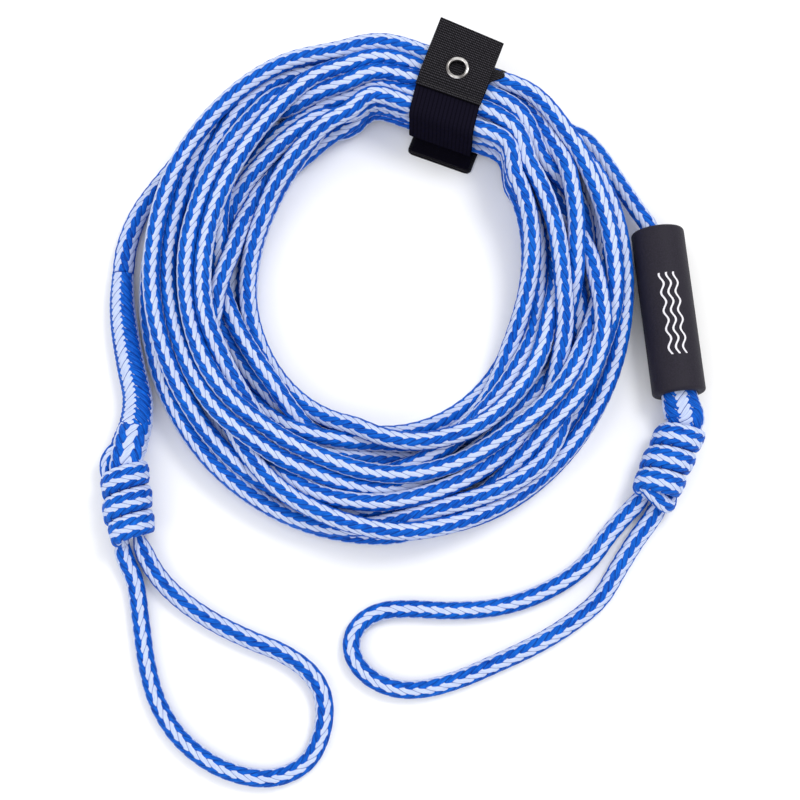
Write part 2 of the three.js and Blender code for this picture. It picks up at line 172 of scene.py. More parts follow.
def run_along(points):
    """How far each point lies from the first one, along the line."""
    return np.concatenate([[0], np.cumsum(np.linalg.norm(np.diff(points, axis=0), axis=1))])


def path_length(points):
    return float(np.linalg.norm(np.diff(points, axis=0), axis=1).sum())


def taken_at(wanted, along, points):
    """The points, or directions, at the wanted places of a line."""
    return np.stack([np.interp(wanted, along, values) for values in points.T], axis=1)


def even_steps(points, step):
    along = run_along(points)
    count = max(4, int(round(along[-1] / step)))
    return taken_at(np.linspace(0, along[-1], count + 1), along, points)


for route_name, route in (("left eye", LEFT_EYE), ("right eye", RIGHT_EYE)):
    print(route_name, "route", round(path_length(smooth_path(placed(route))), 3), "m")


# %% [markdown]
# A coil is one rope that lies over itself, so its turns are found the way they come about: the rope
# is a string of points, one every few degrees of each turn. In each slice across the bundle the
# turns push each other apart to a rope's width, gravity pulls them down on the floor and on each
# other, the strap holds them together, and the rope stays smooth along its length. The turns start
# thin and wander from side to side, and swell to full size, which leaves natural crossings.

# %% How the bundle closes in at the strap
SLICES = 96                  # slices in one turn
WHOLE_TURNS = 17
START_SLICE, END_SLICE = 40, 11    # where the rope comes in and where it goes out
BUNDLE_FLOOR = 5.4 * MM      # the strap's three layers under the bundle
BUNDLE_TOP = 50.4 * MM
LOOSE_ROOF = 60 * MM         # higher than the loose turns ever come
INNER_LOOSE = 36 * MM        # how far inwards of the middle line the turns go, where the coil is loose
INNER_SQUEEZED = 16.5 * MM   # the same in the strap, which pulls its inner side in
INNER_END = 92               # degrees from the strap where that pull ends
LEADS_OUT = np.array([42.4, 41.2, 36.5, 41]) * MM    # the first and last two points, out from the middle


def ease(x, low, high):
    t = np.clip((x - low) / (high - low), 0, 1)
    return t * t * (3 - 2 * t)


def degrees_from_strap(t):
    return (t - STRAP_AT + 180) % 360 - 180


def squeezed(t):
    return 1 - ease(np.abs(degrees_from_strap(t)), SQUEEZE_FLAT, SQUEEZE_END)


at, turned = math.radians(STRAP_AT), math.radians(90 + STRAP_TURN)
strap_middle = coil_centre + np.array([COIL_A * math.cos(at), COIL_B * math.sin(at), 0])
strap_out = np.array([math.cos(turned), math.sin(turned), 0])
strap_side = np.array([-strap_out[1], strap_out[0], 0])
print("strap's middle", strap_middle)


def in_bundle(t, out, z):
    """The place at angle t round the coil, out from the bundle's middle line and up from the floor."""
    a = np.radians(t)
    loose = np.stack([(COIL_A + out) * np.cos(a), (COIL_B + out) * np.sin(a), z], axis=-1) + coil_centre
    away = np.radians(degrees_from_strap(t))
    straight = strap_middle + np.multiply.outer(out, strap_out) + np.multiply.outer(COIL_B * away, strap_side)
    straight[..., 2] = z
    share = 1 - ease(np.abs(degrees_from_strap(t)), SQUEEZE_FLAT, STRAIGHT_END)
    return loose + (straight - loose) * share[..., None]


# %% [markdown]
# Two things keep the turns from lying in one neat stack. Each point is drawn a little towards a
# wandering line, which makes the turns cross, and the rope's stiffness, worked out from the bend of
# its neighbours, keeps those crossings long and gentle. The random start is seeded, so the coil is
# the same at each run.

# %% Let the turns settle
SIDE_WANDER = ((0.31, 0.57, 0.83, 1.21), (0.020, 0.016, 0.011, 0.006))    # waves a turn, and their sizes
HEIGHT_WANDER = ((0.43, 0.71, 1.07), (0.010, 0.008, 0.005))
WANDER_LIMIT = 0.036
START_HEIGHT = 0.022
FLOOR_AIR = 0.15 * MM
THIN_D = 4 * MM              # the rope's thickness at the first step
PACKED_D = 12.3 * MM         # and at the last one: soft rope gives a little where it is pressed
SWOLLEN_AT = 0.6             # share of the steps after which it has its full thickness
SMOOTHING, STIFFNESS = 0.25, 0.06
DRAW = 0.03                  # pull towards the wandering line
PUSH = 0.4                   # share of an overlap that each turn backs away
FALL, LAST_FALL = 0.25 * MM, 0.08 * MM
FREE_SLICES_IN, FREE_SLICES_OUT = 12, 7    # the stretches that swing out to the leads
LEAD_ROOM = 14 * MM          # room for them outside the bundle


def settle_coil(steps):
    count = START_SLICE - END_SLICE + SLICES * WHOLE_TURNS + 1
    k = np.arange(count)
    t = (START_SLICE - k) * 360 / SLICES
    slices = np.full((SLICES, WHOLE_TURNS + 1), -1)
    filled = np.zeros(SLICES, int)
    for i, s in enumerate((START_SLICE - k) % SLICES):
        slices[s, filled[s]] = i
        filled[s] += 1
    there = slices >= 0
    index = np.where(there, slices, 0)
    pairs = there[:, :, None] & there[:, None, :] & ~np.eye(WHOLE_TURNS + 1, dtype=bool)

    rng = np.random.default_rng(7)

    def wander(rates, sizes):
        return sum(size * np.sin(2 * np.pi * (rate * k / SLICES + rng.random()))
                   for rate, size in zip(rates, sizes))

    def bend_of(line):
        """How far each point lies from the middle of its two neighbours, twice over."""
        bend = np.zeros_like(line)
        bend[1:-1] = line[:-2] + line[2:] - 2 * line[1:-1]
        return bend

    hold = squeezed(t)
    floor = BUNDLE_FLOOR * hold + ROPE_R + FLOOR_AIR
    roof = LOOSE_ROOF * (1 - hold) + BUNDLE_TOP * hold - ROPE_R
    half = (COIL_W * (1 - hold) + SQUEEZED_W * hold) / 2 - ROPE_R
    pull = 1 - ease(np.abs(degrees_from_strap(t)), SQUEEZE_FLAT, INNER_END)
    inner = INNER_LOOSE - (INNER_LOOSE - INNER_SQUEEZED) * pull
    target = np.clip(wander(*SIDE_WANDER), -WANDER_LIMIT, WANDER_LIMIT)
    z = START_HEIGHT + wander(*HEIGHT_WANDER)
    spot = np.stack([target, z], axis=1)
    pinned = np.zeros(count, bool)
    pinned[[0, 1, -2, -1]] = True
    ends = np.stack([LEADS_OUT, np.full(4, ROPE_ON_FLOOR)], axis=1)
    spot[pinned] = ends
    near_end = np.clip(1 - k / FREE_SLICES_IN, 0, 1) + np.clip(1 - (count - 1 - k) / FREE_SLICES_OUT, 0, 1)
    target = target * (1 - near_end) + np.where(k < count / 2, LEADS_OUT[0], LEADS_OUT[-1]) * near_end
    free = (~pinned)[:, None]
    for step in range(steps):
        done = step / steps
        d = THIN_D + (PACKED_D - THIN_D) * min(1, done / SWOLLEN_AT)
        for _ in range(2):
            spot += SMOOTHING * bend_of(spot) * free
        spot -= STIFFNESS * bend_of(bend_of(spot)) * free
        spot[:, 0] += DRAW * (1 - done) * (target - spot[:, 0])
        spot[:, 1] -= FALL if done < 0.85 else LAST_FALL
        for _ in range(3):
            grid = spot[index]
            apart = grid[:, :, None] - grid[:, None]
            distance = np.sqrt((apart ** 2).sum(-1)) + 1e-9
            over = np.where(pairs, np.maximum(d - distance, 0), 0)
            push = (apart / distance[..., None] * over[..., None]).sum(2) * PUSH
            move = np.zeros_like(spot)
            move[index[there]] = push[there]
            spot += move
            spot[:, 0] = np.clip(spot[:, 0], -inner, half + near_end * LEAD_ROOM)
            spot[:, 1] = np.clip(spot[:, 1], floor, roof)
            spot[pinned] = ends
    grid = spot[index]
    distance = np.sqrt(((grid[:, :, None] - grid[:, None]) ** 2).sum(-1))
    print("closest turns", round(float(distance[pairs].min() / MM), 2), "mm apart")
    return in_bundle(t, spot[:, 0], spot[:, 1])


coil_points = settle_coil(steps=700)
print("coil rope", round(path_length(coil_points), 2), "m")

# %% [markdown]
# The rope is a hollow braid of sixteen strands. Eight blue ones wind one way and eight white ones
# the other, each over two and under two, so the rope shows lengthwise stripes of slanting stitches.
# One texture could fake that, but the ridges are what catches the light. So the tube's grid is laid
# exactly on the braid: its lines meet where strands cross and where a gap opens, and the triangles
# are split along the strand that is on top. The same two coordinates, crossings round the rope and
# stitches along it, go in a UV map, and the material finds each strand from them.

# %% The braid's mesh
COLUMNS = 16                 # crossings round the rope
STITCH = 9.1 * MM            # length of one stitch
STRAND_BULGE = 0.095         # rise of a strand over its edges, as a share of the rope's radius
WEAVE_RISE = 0.045           # rise of a strand that is on top
YARN_DIP = 0.85              # how far the surface drops between the two yarns of a strand
BLUE_LEAD = 0.022            # the blue strands are a little fuller than the white ones


def strand(place, yarns):
    """A strand's rounded section. Its middle is at each even place; it may be two yarns side by side."""
    edge = np.abs((place + 1) % 2 - 1)
    if yarns == 2:
        edge = np.abs(1 - 2 * edge) * np.where(edge < 0.5, YARN_DIP, 1)
    return STRAND_BULGE * np.sqrt(np.clip(1 - edge ** 2, 0, 1))


def braid_height(column, row, yarns):
    """How far the surface stands out at a place of the braid, as a share of the rope's radius."""
    over = np.cos(math.pi / 2 * (column - 0.5)) * WEAVE_RISE
    blue = over + BLUE_LEAD + strand(column - 2 * row, yarns)
    white = -over + strand(column + 2 * row, yarns)
    return np.maximum(blue, white) - STRAND_BULGE - WEAVE_RISE - BLUE_LEAD / 2


def travelling_frames(path):
    """A side direction for each point that turns as little as it can along the path."""
    tangent = np.gradient(path, axis=0)
    tangent /= np.linalg.norm(tangent, axis=1)[:, None]
    normal = np.zeros_like(path)
    n = np.array([0, 0, 1.0])
    for i, direction in enumerate(tangent):
        n = n - direction * (n @ direction)
        n /= np.linalg.norm(n)
        normal[i] = n
    return tangent, normal


def mesh_object(name, vertices, faces, uv=None):
    """A mesh object at the origin from arrays of vertices and faces, all with the same corner count."""
    corners = faces.shape[1]
    mesh = bpy.data.meshes.new(name)
    mesh.vertices.add(len(vertices))
    mesh.vertices.foreach_set("co", np.ascontiguousarray(vertices, dtype=np.float32).ravel())
    mesh.loops.add(faces.size)
    mesh.loops.foreach_set("vertex_index", np.ascontiguousarray(faces, dtype=np.int32).ravel())
    mesh.polygons.add(len(faces))
    mesh.polygons.foreach_set("loop_start", np.arange(0, faces.size, corners, dtype=np.int32))
    mesh.polygons.foreach_set("use_smooth", np.ones(len(faces), dtype=bool))
    if uv is not None:
        layer = mesh.uv_layers.new(name="braid")
        layer.data.foreach_set("uv", np.ascontiguousarray(uv, dtype=np.float32).ravel())
    mesh.update()
    mesh.validate()
    piece = bpy.data.objects.new(name, mesh)
    bpy.context.scene.collection.objects.link(piece)
    return piece


# %% [markdown]
# One function makes every stretch of rope, thin or thick, round or pressed flat. It sets rings of
# points along a path, each point pushed out by the braid's height there, and joins them with
# triangles. Both ends are closed, so that every mesh is a solid.

# %% A braided rope along a path
def braid_faces(rings, lines, detail, row):
    """The triangles of a braid's grid, split along the strand on top, and their UV corners."""
    j, i = (grid.ravel() for grid in np.meshgrid(np.arange(rings), np.arange(lines), indexing="ij"))
    i2 = (i + 1) % lines
    corners = np.stack([j * lines + i, j * lines + i2, (j + 1) * lines + i2, (j + 1) * lines + i], axis=1)
    left, right = i / detail, (i + 1) / detail
    us = np.stack([left, right, right, left], axis=1)
    vs = np.stack([row[j], row[j], row[j + 1], row[j + 1]], axis=1)
    blue_on_top = np.cos(math.pi / 2 * ((i + 0.5) / detail - 0.5)) > 0
    splits = np.where(blue_on_top[:, None], [[0, 1, 3, 1, 2, 3]], [[0, 1, 2, 0, 2, 3]])
    faces, us, vs = (np.take_along_axis(values, splits, axis=1) for values in (corners, us, vs))
    return faces.reshape(-1, 3), np.stack([us, vs], axis=-1).reshape(-1, 2)


def end_lids(vertices, faces, uv, ends, lines, row):
    """Closes both ends of a tube with a fan of triangles."""
    first, last = len(vertices), len(vertices) + 1
    top = first - lines
    n = np.arange(lines)
    m = (n + 1) % lines
    lids = np.vstack([np.stack([np.full(lines, first), m, n], axis=1),
                      np.stack([np.full(lines, last), top + n, top + m], axis=1)])
    lid_uv = np.stack([np.full(lids.size, 0.5), np.repeat([row[0], row[-1]], lines * 3)], axis=1)
    return np.vstack([vertices, ends]), np.vstack([faces, lids]), np.vstack([uv, lid_uv])


def braided(name, path, radius=ROPE_R, flat=1.0, normal=None, stitch=STITCH, detail=2, turn=0.0, phase=0.0,
            square=0.0, first_row=0.0, yarns=1, columns=COLUMNS):
    """A braided rope along a path. radius is the rope's half-thickness along the side direction and
    radius * flat is that across it, each one number or one for each point. The stripes start at
    phase and wind on by turn, in radians and radians a metre. square flattens the section's faces,
    and detail is how many grid lines stand between two crossings."""
    radius = np.broadcast_to(np.asarray(radius, dtype=float), len(path))
    flat = np.broadcast_to(np.asarray(flat, dtype=float), len(path))
    along = run_along(path)
    rings = max(8, int(round(along[-1] / stitch * 2 * detail)))
    wanted = np.linspace(0, along[-1], rings + 1)
    centre = taken_at(wanted, along, path)
    if normal is None:
        tangent, side = travelling_frames(centre)
    else:
        side = taken_at(wanted, along, normal)
        tangent = np.gradient(centre, axis=0)
        tangent /= np.linalg.norm(tangent, axis=1)[:, None]
        side -= tangent * (side * tangent).sum(1)[:, None]
        side /= np.linalg.norm(side, axis=1)[:, None]
    across = np.cross(tangent, side)
    lines = columns * detail
    column = np.arange(lines) / detail
    row = first_row - np.arange(rings + 1) / (2 * detail)
    height = braid_height(column[None, :], row[:, None], yarns)
    r = np.interp(wanted, along, radius)[:, None] * (1 + height)
    wider = np.interp(wanted, along, flat)[:, None]
    angle = 2 * np.pi * column[None, :] / columns + turn * wanted[:, None] + phase
    wide = np.sin(angle) * (1 - square) + np.arcsin(np.sin(angle)) * 2 / np.pi * square
    thick = np.sign(np.cos(angle)) * np.maximum(1 - np.abs(wide) ** (2 + square), 0) ** (1 / (2 + square))
    ring = (centre[:, None] + side[:, None] * (r * thick)[..., None]
            + across[:, None] * (r * wider * wide)[..., None])
    vertices = ring.reshape(-1, 3)
    faces, uv = braid_faces(rings, lines, detail, row)
    vertices, faces, uv = end_lids(vertices, faces, uv, centre[[0, -1]], lines, row)
    piece = mesh_object(name, vertices, faces, uv)
    piece["length"] = float(along[-1])
    return piece, centre, row[-1]


# %% [markdown]
# The coil and its two leads are one long rope. One mesh of it would be too heavy, so it is cut into
# five pieces, and each goes on with the stitch and the side direction where the one before it ended,
# so that no join shows. The left lead swells a little where it comes out of the splice.

# %% The coil and its two leads
COIL_PIECES = 3
STRIPE_TURN = 2.2            # slow twist of the stripes, radians a metre
PATH_STEP = 2.5 * MM
SWELL, SWELL_END = 1.2 * MM, 60 * MM

lead_in = smooth_path(placed(LEFT_LEAD[::-1]))
lead_out = smooth_path(placed(RIGHT_LEAD))
whole = smooth_path(np.vstack([placed(LEFT_LEAD[::-1]), coil_points[1:-1], placed(RIGHT_LEAD)]), PATH_STEP)
along_whole = run_along(whole)
cut_in = path_length(lead_in)
cut_out = path_length(whole) - path_length(lead_out)
cuts = [0, cut_in]
cuts += [cut_in + (cut_out - cut_in) * (i + 1) / COIL_PIECES for i in range(COIL_PIECES)]
cuts += [along_whole[-1]]
rope_names = ["left_lead_rope"] + [f"coil_rope_{i + 1}" for i in range(COIL_PIECES)] + ["right_lead_rope"]
_, whole_normal = travelling_frames(whole)
stretches = {}
first_row = 0.0
for name, start, end in zip(rope_names, cuts[:-1], cuts[1:]):
    wanted = np.linspace(start, end, max(8, int((end - start) / PATH_STEP)))
    swell = SWELL * (1 - ease(wanted, 0, SWELL_END))
    piece, centre, first_row = braided(
        name, taken_at(wanted, along_whole, whole), radius=ROPE_R + swell,
        normal=taken_at(wanted, along_whole, whole_normal), first_row=first_row, turn=STRIPE_TURN,
        phase=STRIPE_TURN * start)
    stretches[name] = (piece, centre)
    print(name, round(piece["length"], 3), "m,", len(piece.data.polygons), "triangles")


# %% [markdown]
# Near each end the rope swallows its own tail: the tail is pushed back inside the hollow braid, so
# the rope gets fatter, and flat and wide just before the knot. That is the same braid with a
# thickness that changes along it. The tail spreads the strands, and each shows its two yarns.

# %% The fat splices
SPLICE_STITCH = 8.5 * MM
SPLICE_INTO_KNOT = (4 * MM, 12 * MM)    # two last points, down the knot's axis
SPLICE_STEP = 2 * MM
SOFTEN_OVER = 9              # points over which a change of thickness is softened


def knot_axis(knot):
    top, bottom = placed(knot)
    axis = (bottom - top) / np.linalg.norm(bottom - top)
    return top, bottom, axis


def splice(name, route, knot, thickness, widths, **look):
    """thickness and widths are lists of (share of the length, metres or ratio)."""
    top, _, axis = knot_axis(knot)
    into_knot = [top + axis * deep for deep in SPLICE_INTO_KNOT]
    path = smooth_path(np.vstack([placed(route), *into_knot]), SPLICE_STEP)
    share = np.linspace(0, 1, len(path))
    radius = np.interp(share, *zip(*thickness))
    flat = np.interp(share, *zip(*widths))
    soften = np.hanning(SOFTEN_OVER) / np.hanning(SOFTEN_OVER).sum()
    radius, flat = (np.convolve(np.pad(values, SOFTEN_OVER // 2, mode="edge"), soften, mode="valid")
                    for values in (radius, flat))
    piece, centre, _ = braided(name, path, radius=radius, flat=flat, stitch=SPLICE_STITCH, yarns=2,
                               **look)
    stretches[name] = (piece, centre)
    print(name, round(piece["length"], 3), "m")
    return piece


left_splice = splice("left_splice_rope", LEFT_SPLICE, LEFT_KNOT,
                     [(0, 7.5 * MM), (0.1, 8.5 * MM), (0.25, 9.4 * MM), (0.6, 9.7 * MM), (0.84, 9 * MM),
                      (0.9, 6.5 * MM), (1, 4 * MM)],
                     [(0, 1), (0.55, 1.04), (0.7, 1.2), (0.84, 1.46), (0.93, 1.4), (1, 1)],
                     columns=12, detail=6, phase=-0.85)
right_splice = splice("right_splice_rope", RIGHT_SPLICE, RIGHT_KNOT,
                      [(0, ROPE_R), (0.2, 9 * MM), (0.62, 10.2 * MM), (0.86, 10.2 * MM), (0.94, 8 * MM),
                       (1, 5 * MM)],
                      [(0, 1), (0.62, 1.05), (0.74, 1.28), (0.86, 1.42), (0.95, 1.3), (1, 1)],
                      detail=4, phase=-0.93)

# %% [markdown]
# The barrel knot is the rope wound round itself three times and pulled tight, so each wrap is
# pressed flat, wide along the knot and thin across it. It is a helix whose radius drops at both
# ends, where the rope dives under its own wraps.

# %% The barrel knots
WRAP_PITCH = 17 * MM
WRAP_RADIUS = 12.2 * MM      # the wraps' middle line, from the knot's axis
WRAP_HALF_THICK = 5.1 * MM
WRAP_HALF_WIDE = 8.7 * MM
WRAP_STITCH = 6.6 * MM       # shorter in the middle of a wrap, because its outside is stretched
KNOT_PROUD = 2.6 * MM        # the wraps bulge this far past the knot's flat ends
FIRST_WRAP = 7.2 * MM        # where the first wrap comes over the knot's right side
LAST_WRAP = 8 * MM           # where the last one goes under, from the knot's other end
WRAP_POINTS = 420
DIVE_IN, DIVE_OUT = 1.3, 1.1 # radians that the rope goes on before the first wrap and past the last
DIVE_SHARE = 0.42            # the wraps' radius where the rope has dived, as a share of the full one


def barrel_knot(name, knot):
    top, bottom, axis = knot_axis(knot)
    up = np.array([0, 0, 1.0])
    up = up - axis * (up @ axis)
    side = np.cross(axis, up)
    length = np.linalg.norm(bottom - top) + 2 * KNOT_PROUD
    first, last = FIRST_WRAP, length - LAST_WRAP
    turns = (last - first) / WRAP_PITCH
    angle = np.linspace(-math.pi / 2 - DIVE_IN, -math.pi / 2 + 2 * math.pi * turns + DIVE_OUT, WRAP_POINTS)
    along = first + (angle + math.pi / 2) / (2 * math.pi) * WRAP_PITCH
    along = np.clip(along, first - 1.2 * MM, last + 1.2 * MM)
    dive = ease(angle, angle[0], angle[0] + 1.4) * (1 - ease(angle, angle[-1] - 1.3, angle[-1]))
    radius = WRAP_RADIUS * (DIVE_SHARE + (1 - DIVE_SHARE) * dive) * (1 + 0.02 * np.sin(angle * 1.7 + 1))
    radial = np.cos(angle)[:, None] * up + np.sin(angle)[:, None] * side
    path = top + radial * radius[:, None] + axis * (along - KNOT_PROUD)[:, None]
    piece, _, _ = braided(name, path, radius=WRAP_HALF_THICK, flat=WRAP_HALF_WIDE / WRAP_HALF_THICK,
                          normal=radial, stitch=WRAP_STITCH, phase=math.pi / COLUMNS, square=0.8)
    print(name, round(piece["length"], 3), "m of rope")
    return piece


left_knot = barrel_knot("left_knot_wraps", LEFT_KNOT)
right_knot = barrel_knot("right_knot_wraps", RIGHT_KNOT)


# %% [markdown]
# At the left knot the rope folds as it goes in, so one wide stretch and one turn of it show beside the
# splice. Under the right knot a bight sticks out. Each is a few centimetres of the same braid.

# %% The rope's way into the left knot, and the bight under the right one
def knot_turn(name, middle, offsets, **look):
    """A short stretch of rope through points in millimetres from a place on a knot."""
    piece, _, _ = braided(name, smooth_path(middle + np.array(offsets) * MM, MM), **look)
    print(name, round(piece["length"], 3), "m")
    return piece


left_top = knot_axis(LEFT_KNOT)[0]
right_bottom = knot_axis(RIGHT_KNOT)[1]
left_neck = knot_turn("left_knot_neck", left_top, [
    (6.5, 33, -6), (6, 28, -2), (4.6, 21, 2.5), (3.2, 12, 4.8), (1.8, 3, 5), (1.2, -6, 2)],
    radius=6.2 * MM, flat=1.85, stitch=8.6 * MM, phase=0.5, square=0.3)
left_tail = knot_turn("left_knot_turn", left_top, [
    (-8, -9, -5), (-11.2, -4, -4), (-12, 2, -2), (-10, 8, 0), (-5.5, 12.5, 1), (0, 15, 0), (5, 17, -3)],
    radius=5 * MM, flat=1.1, stitch=8 * MM)
right_bight = knot_turn("right_knot_bight", right_bottom, [
    (-8, 10, 3), (-5.5, 5.5, 6.5), (-1.5, 1, 7), (3, -3.2, 5.5), (7.2, -6.4, 2.5), (10.6, -6.6, -1.5),
    (12.2, -3, -4), (12, 2.5, -5), (9, 8, -5)],
    radius=4.6 * MM, flat=1.25, stitch=8.2 * MM)

# %% [markdown]
# An eye is the rope's end loop. Its two legs come out of the knot side by side. Inside the knot they
# are squeezed thin, where nobody sees it, so that the wraps close round them.

# %% The eye loops
LEG_APART = 13.5 * MM
LEG_OUT = ROPE_R + 0.3 * MM
LEG_Z = 9.5 * MM
LEG_DEEP = 12 * MM           # how far the legs go into the knot
LEG_APART_INSIDE = 6.8 * MM
LEG_R_INSIDE = 3.6 * MM
SQUEEZED_RUN, FULL_RUN = 8 * MM, 22 * MM    # from each end: where it is thin, and where full
EYE_TURN = 3.0               # twist of the stripes, radians a metre


def eye_loop(name, route, knot):
    _, bottom, axis = knot_axis(knot)
    side = np.array([axis[1], -axis[0], 0])
    mouth = bottom + axis * LEG_OUT
    mouth[2] = LEG_Z
    deep = bottom - axis * LEG_DEEP
    legs = [mouth + side * LEG_APART / 2 * sign for sign in (1, -1)]
    inside = [deep + side * LEG_APART_INSIDE / 2 * sign for sign in (1, -1)]
    path = smooth_path(np.vstack([inside[0], legs[0], placed(route), legs[1], inside[1]]), 2 * MM)
    run = run_along(path)
    from_end = np.minimum(run, run[-1] - run)
    radius = LEG_R_INSIDE + (ROPE_R - LEG_R_INSIDE) * ease(from_end, SQUEEZED_RUN, FULL_RUN)
    piece, centre, _ = braided(name, path, radius=radius, turn=EYE_TURN)
    stretches[name] = (piece, centre)
    print(name, round(piece["length"], 3), "m")
    return piece


left_eye = eye_loop("left_eye_rope", LEFT_EYE, LEFT_KNOT)
right_eye = eye_loop("right_eye_rope", RIGHT_EYE, RIGHT_KNOT)

# %% [markdown]
# The float is a tube of closed-cell foam. A cylinder is the right start: its end faces are inset to
# the bore and bridged through, which opens the hole, and the four rims are bevelled, because foam is
# cut and never keeps a sharp edge.

# %% The foam float
FLOAT_D, FLOAT_L, FLOAT_BORE_D = 37 * MM, 118 * MM, 22 * MM
FLOAT_MIDDLE = coil_centre + np.array([0.1972, -0.0195, 0.0186])
FLOAT_TURN = math.radians(5.7)
RIM_ROUND = 2.6 * MM
SHARP = 1.0                  # radians between two faces at a sharp edge


def only(piece):
    """Selects one piece and nothing else, because an operator acts on all that is selected."""
    bpy.ops.object.select_all(action="DESELECT")
    piece.select_set(True)
    bpy.context.view_layer.objects.active = piece


def edit(piece):
    only(piece)
    bpy.ops.object.mode_set(mode="EDIT")
    return bmesh.from_edit_mesh(piece.data)


def leave_edit():
    bpy.ops.object.mode_set(mode="OBJECT")
    bpy.ops.object.select_all(action="DESELECT")


def face_outwards():
    bpy.ops.mesh.select_all(action="SELECT")
    bpy.ops.mesh.normals_make_consistent(inside=False)


def settle_in_place(piece):
    """Puts the object's place, turn and size into its mesh."""
    only(piece)
    bpy.ops.object.transform_apply(location=True, rotation=True, scale=True)
    bpy.ops.object.select_all(action="DESELECT")


bpy.ops.mesh.primitive_cylinder_add(vertices=96, radius=FLOAT_D / 2, depth=FLOAT_L, end_fill_type="NGON",
                                    calc_uvs=False)
float_tube = bpy.context.object
float_tube.name = "foam_float"
shape = edit(float_tube)
for face in shape.faces:
    face.select = abs(face.normal.z) > 0.9
bmesh.update_edit_mesh(float_tube.data)
bpy.ops.mesh.inset(thickness=(FLOAT_D - FLOAT_BORE_D) / 2)
bpy.ops.mesh.bridge_edge_loops(type="PAIRS")
shape = bmesh.from_edit_mesh(float_tube.data)
rims = [edge for edge in shape.edges if len(edge.link_faces) == 2 and edge.calc_face_angle(0) > SHARP]
for element in (*shape.faces, *shape.edges, *shape.verts):
    element.select = False
for edge in rims:
    edge.select = True
bmesh.update_edit_mesh(float_tube.data)
bpy.ops.mesh.bevel(offset=RIM_ROUND, segments=6, profile=0.5, affect="EDGES")
face_outwards()
leave_edit()
only(float_tube)
bpy.ops.object.shade_smooth()

# %% [markdown]
# The print has to know where it is round the float and along it, so both go in a UV map, in metres.

# %% The float's UV map
round_and_along = float_tube.data.uv_layers.new(name="round_and_along")
for loop in float_tube.data.loops:
    x, y, z = float_tube.data.vertices[loop.vertex_index].co
    round_and_along.data[loop.index].uv = (math.atan2(x, y) * FLOAT_D / 2, z)
float_tube.rotation_euler = (math.pi / 2, 0, FLOAT_TURN)
float_tube.location = FLOAT_MIDDLE
settle_in_place(float_tube)
print("float", len(float_tube.data.polygons), "faces")

# %% [markdown]
# The keeper strap is sewn from four flat tapes. A flat tape is modelled directly: a line that it
# follows, seen from its edge, and a grid of ribs along it. The webbing's ribs run across, the hook
# tape's rows of hooks run along.

# %% A flat tape along a line
WEB_W, WEB_T = 48 * MM, 1.5 * MM
HOOK_W, HOOK_T = 47 * MM, 1.5 * MM
LOOP_W, LOOP_T = 44 * MM, 1.5 * MM
GAP = 0.3 * MM               # between one tape and the next
BAND_TIP = 36 * MM           # how far the outer band's end comes out inside the ring
BAND_START = 3.5 * MM        # its other end, under the tab
SIDE_SHIFT = 8.2 * MM        # how far it slips sideways on the coil's outer side
FLAP_SHIFT = 5.7 * MM        # and at its tip
TAB_START, TAB_TIP = -4.3 * MM, 45.6 * MM
TAB_FLOOR = BUNDLE_TOP + GAP + WEB_T + GAP
TAB_RISE = 2.2 * MM          # the tab climbs this much over the outer band
HOOK_BACK = 10 * MM          # where the hook tape ends, under the coil
BUNDLE_SIDE = SQUEEZED_W / 2
INNER_SIDE = 24.5 * MM       # the tapes pull the soft bundle in a little more on its inner side
BEND, HOOK_BEND = 12 * MM, 7.2 * MM
ARC_STEPS = 12
LINE_STEP = 0.4 * MM
EDGE_CROWD = 0.72            # crowds a tape's grid lines towards its two edges


def rounded_line(corners):
    """A line through [out, up, radius] corners, rounded where a radius is given, in even steps."""
    line = []
    for i, (x, z, radius) in enumerate(corners):
        here = np.array([x, z])
        if not radius:
            line.append(here)
            continue
        before = np.array(corners[i - 1][:2]) - here
        after = np.array(corners[i + 1][:2]) - here
        before, after = before / np.linalg.norm(before), after / np.linalg.norm(after)
        half = math.acos(np.clip(before @ after, -1, 1)) / 2
        centre = here + (before + after) / np.linalg.norm(before + after) * radius / math.sin(half)
        start = here + before * radius / math.tan(half) - centre
        end = here + after * radius / math.tan(half) - centre
        sweep = math.atan2(start[0] * end[1] - start[1] * end[0], start @ end)
        for k in range(ARC_STEPS + 1):
            a = sweep * k / ARC_STEPS
            line.append(centre + [start[0] * math.cos(a) - start[1] * math.sin(a),
                                  start[0] * math.sin(a) + start[1] * math.cos(a)])
    line = np.array(line)
    along = run_along(line)
    wanted = np.linspace(0, along[-1], max(3, int(along[-1] / LINE_STEP)) + 1)
    return taken_at(wanted, along, line), wanted


def in_strap(out, side, z):
    """The place that lies out from the bundle's middle line, to the side of the strap's, and up."""
    out, side, z = (np.asarray(value, dtype=float) for value in (out, side, z))
    flat = strap_middle + np.multiply.outer(out, strap_out) + np.multiply.outer(side, strap_side)
    return flat + np.multiply.outer(z, [0, 0, 1])


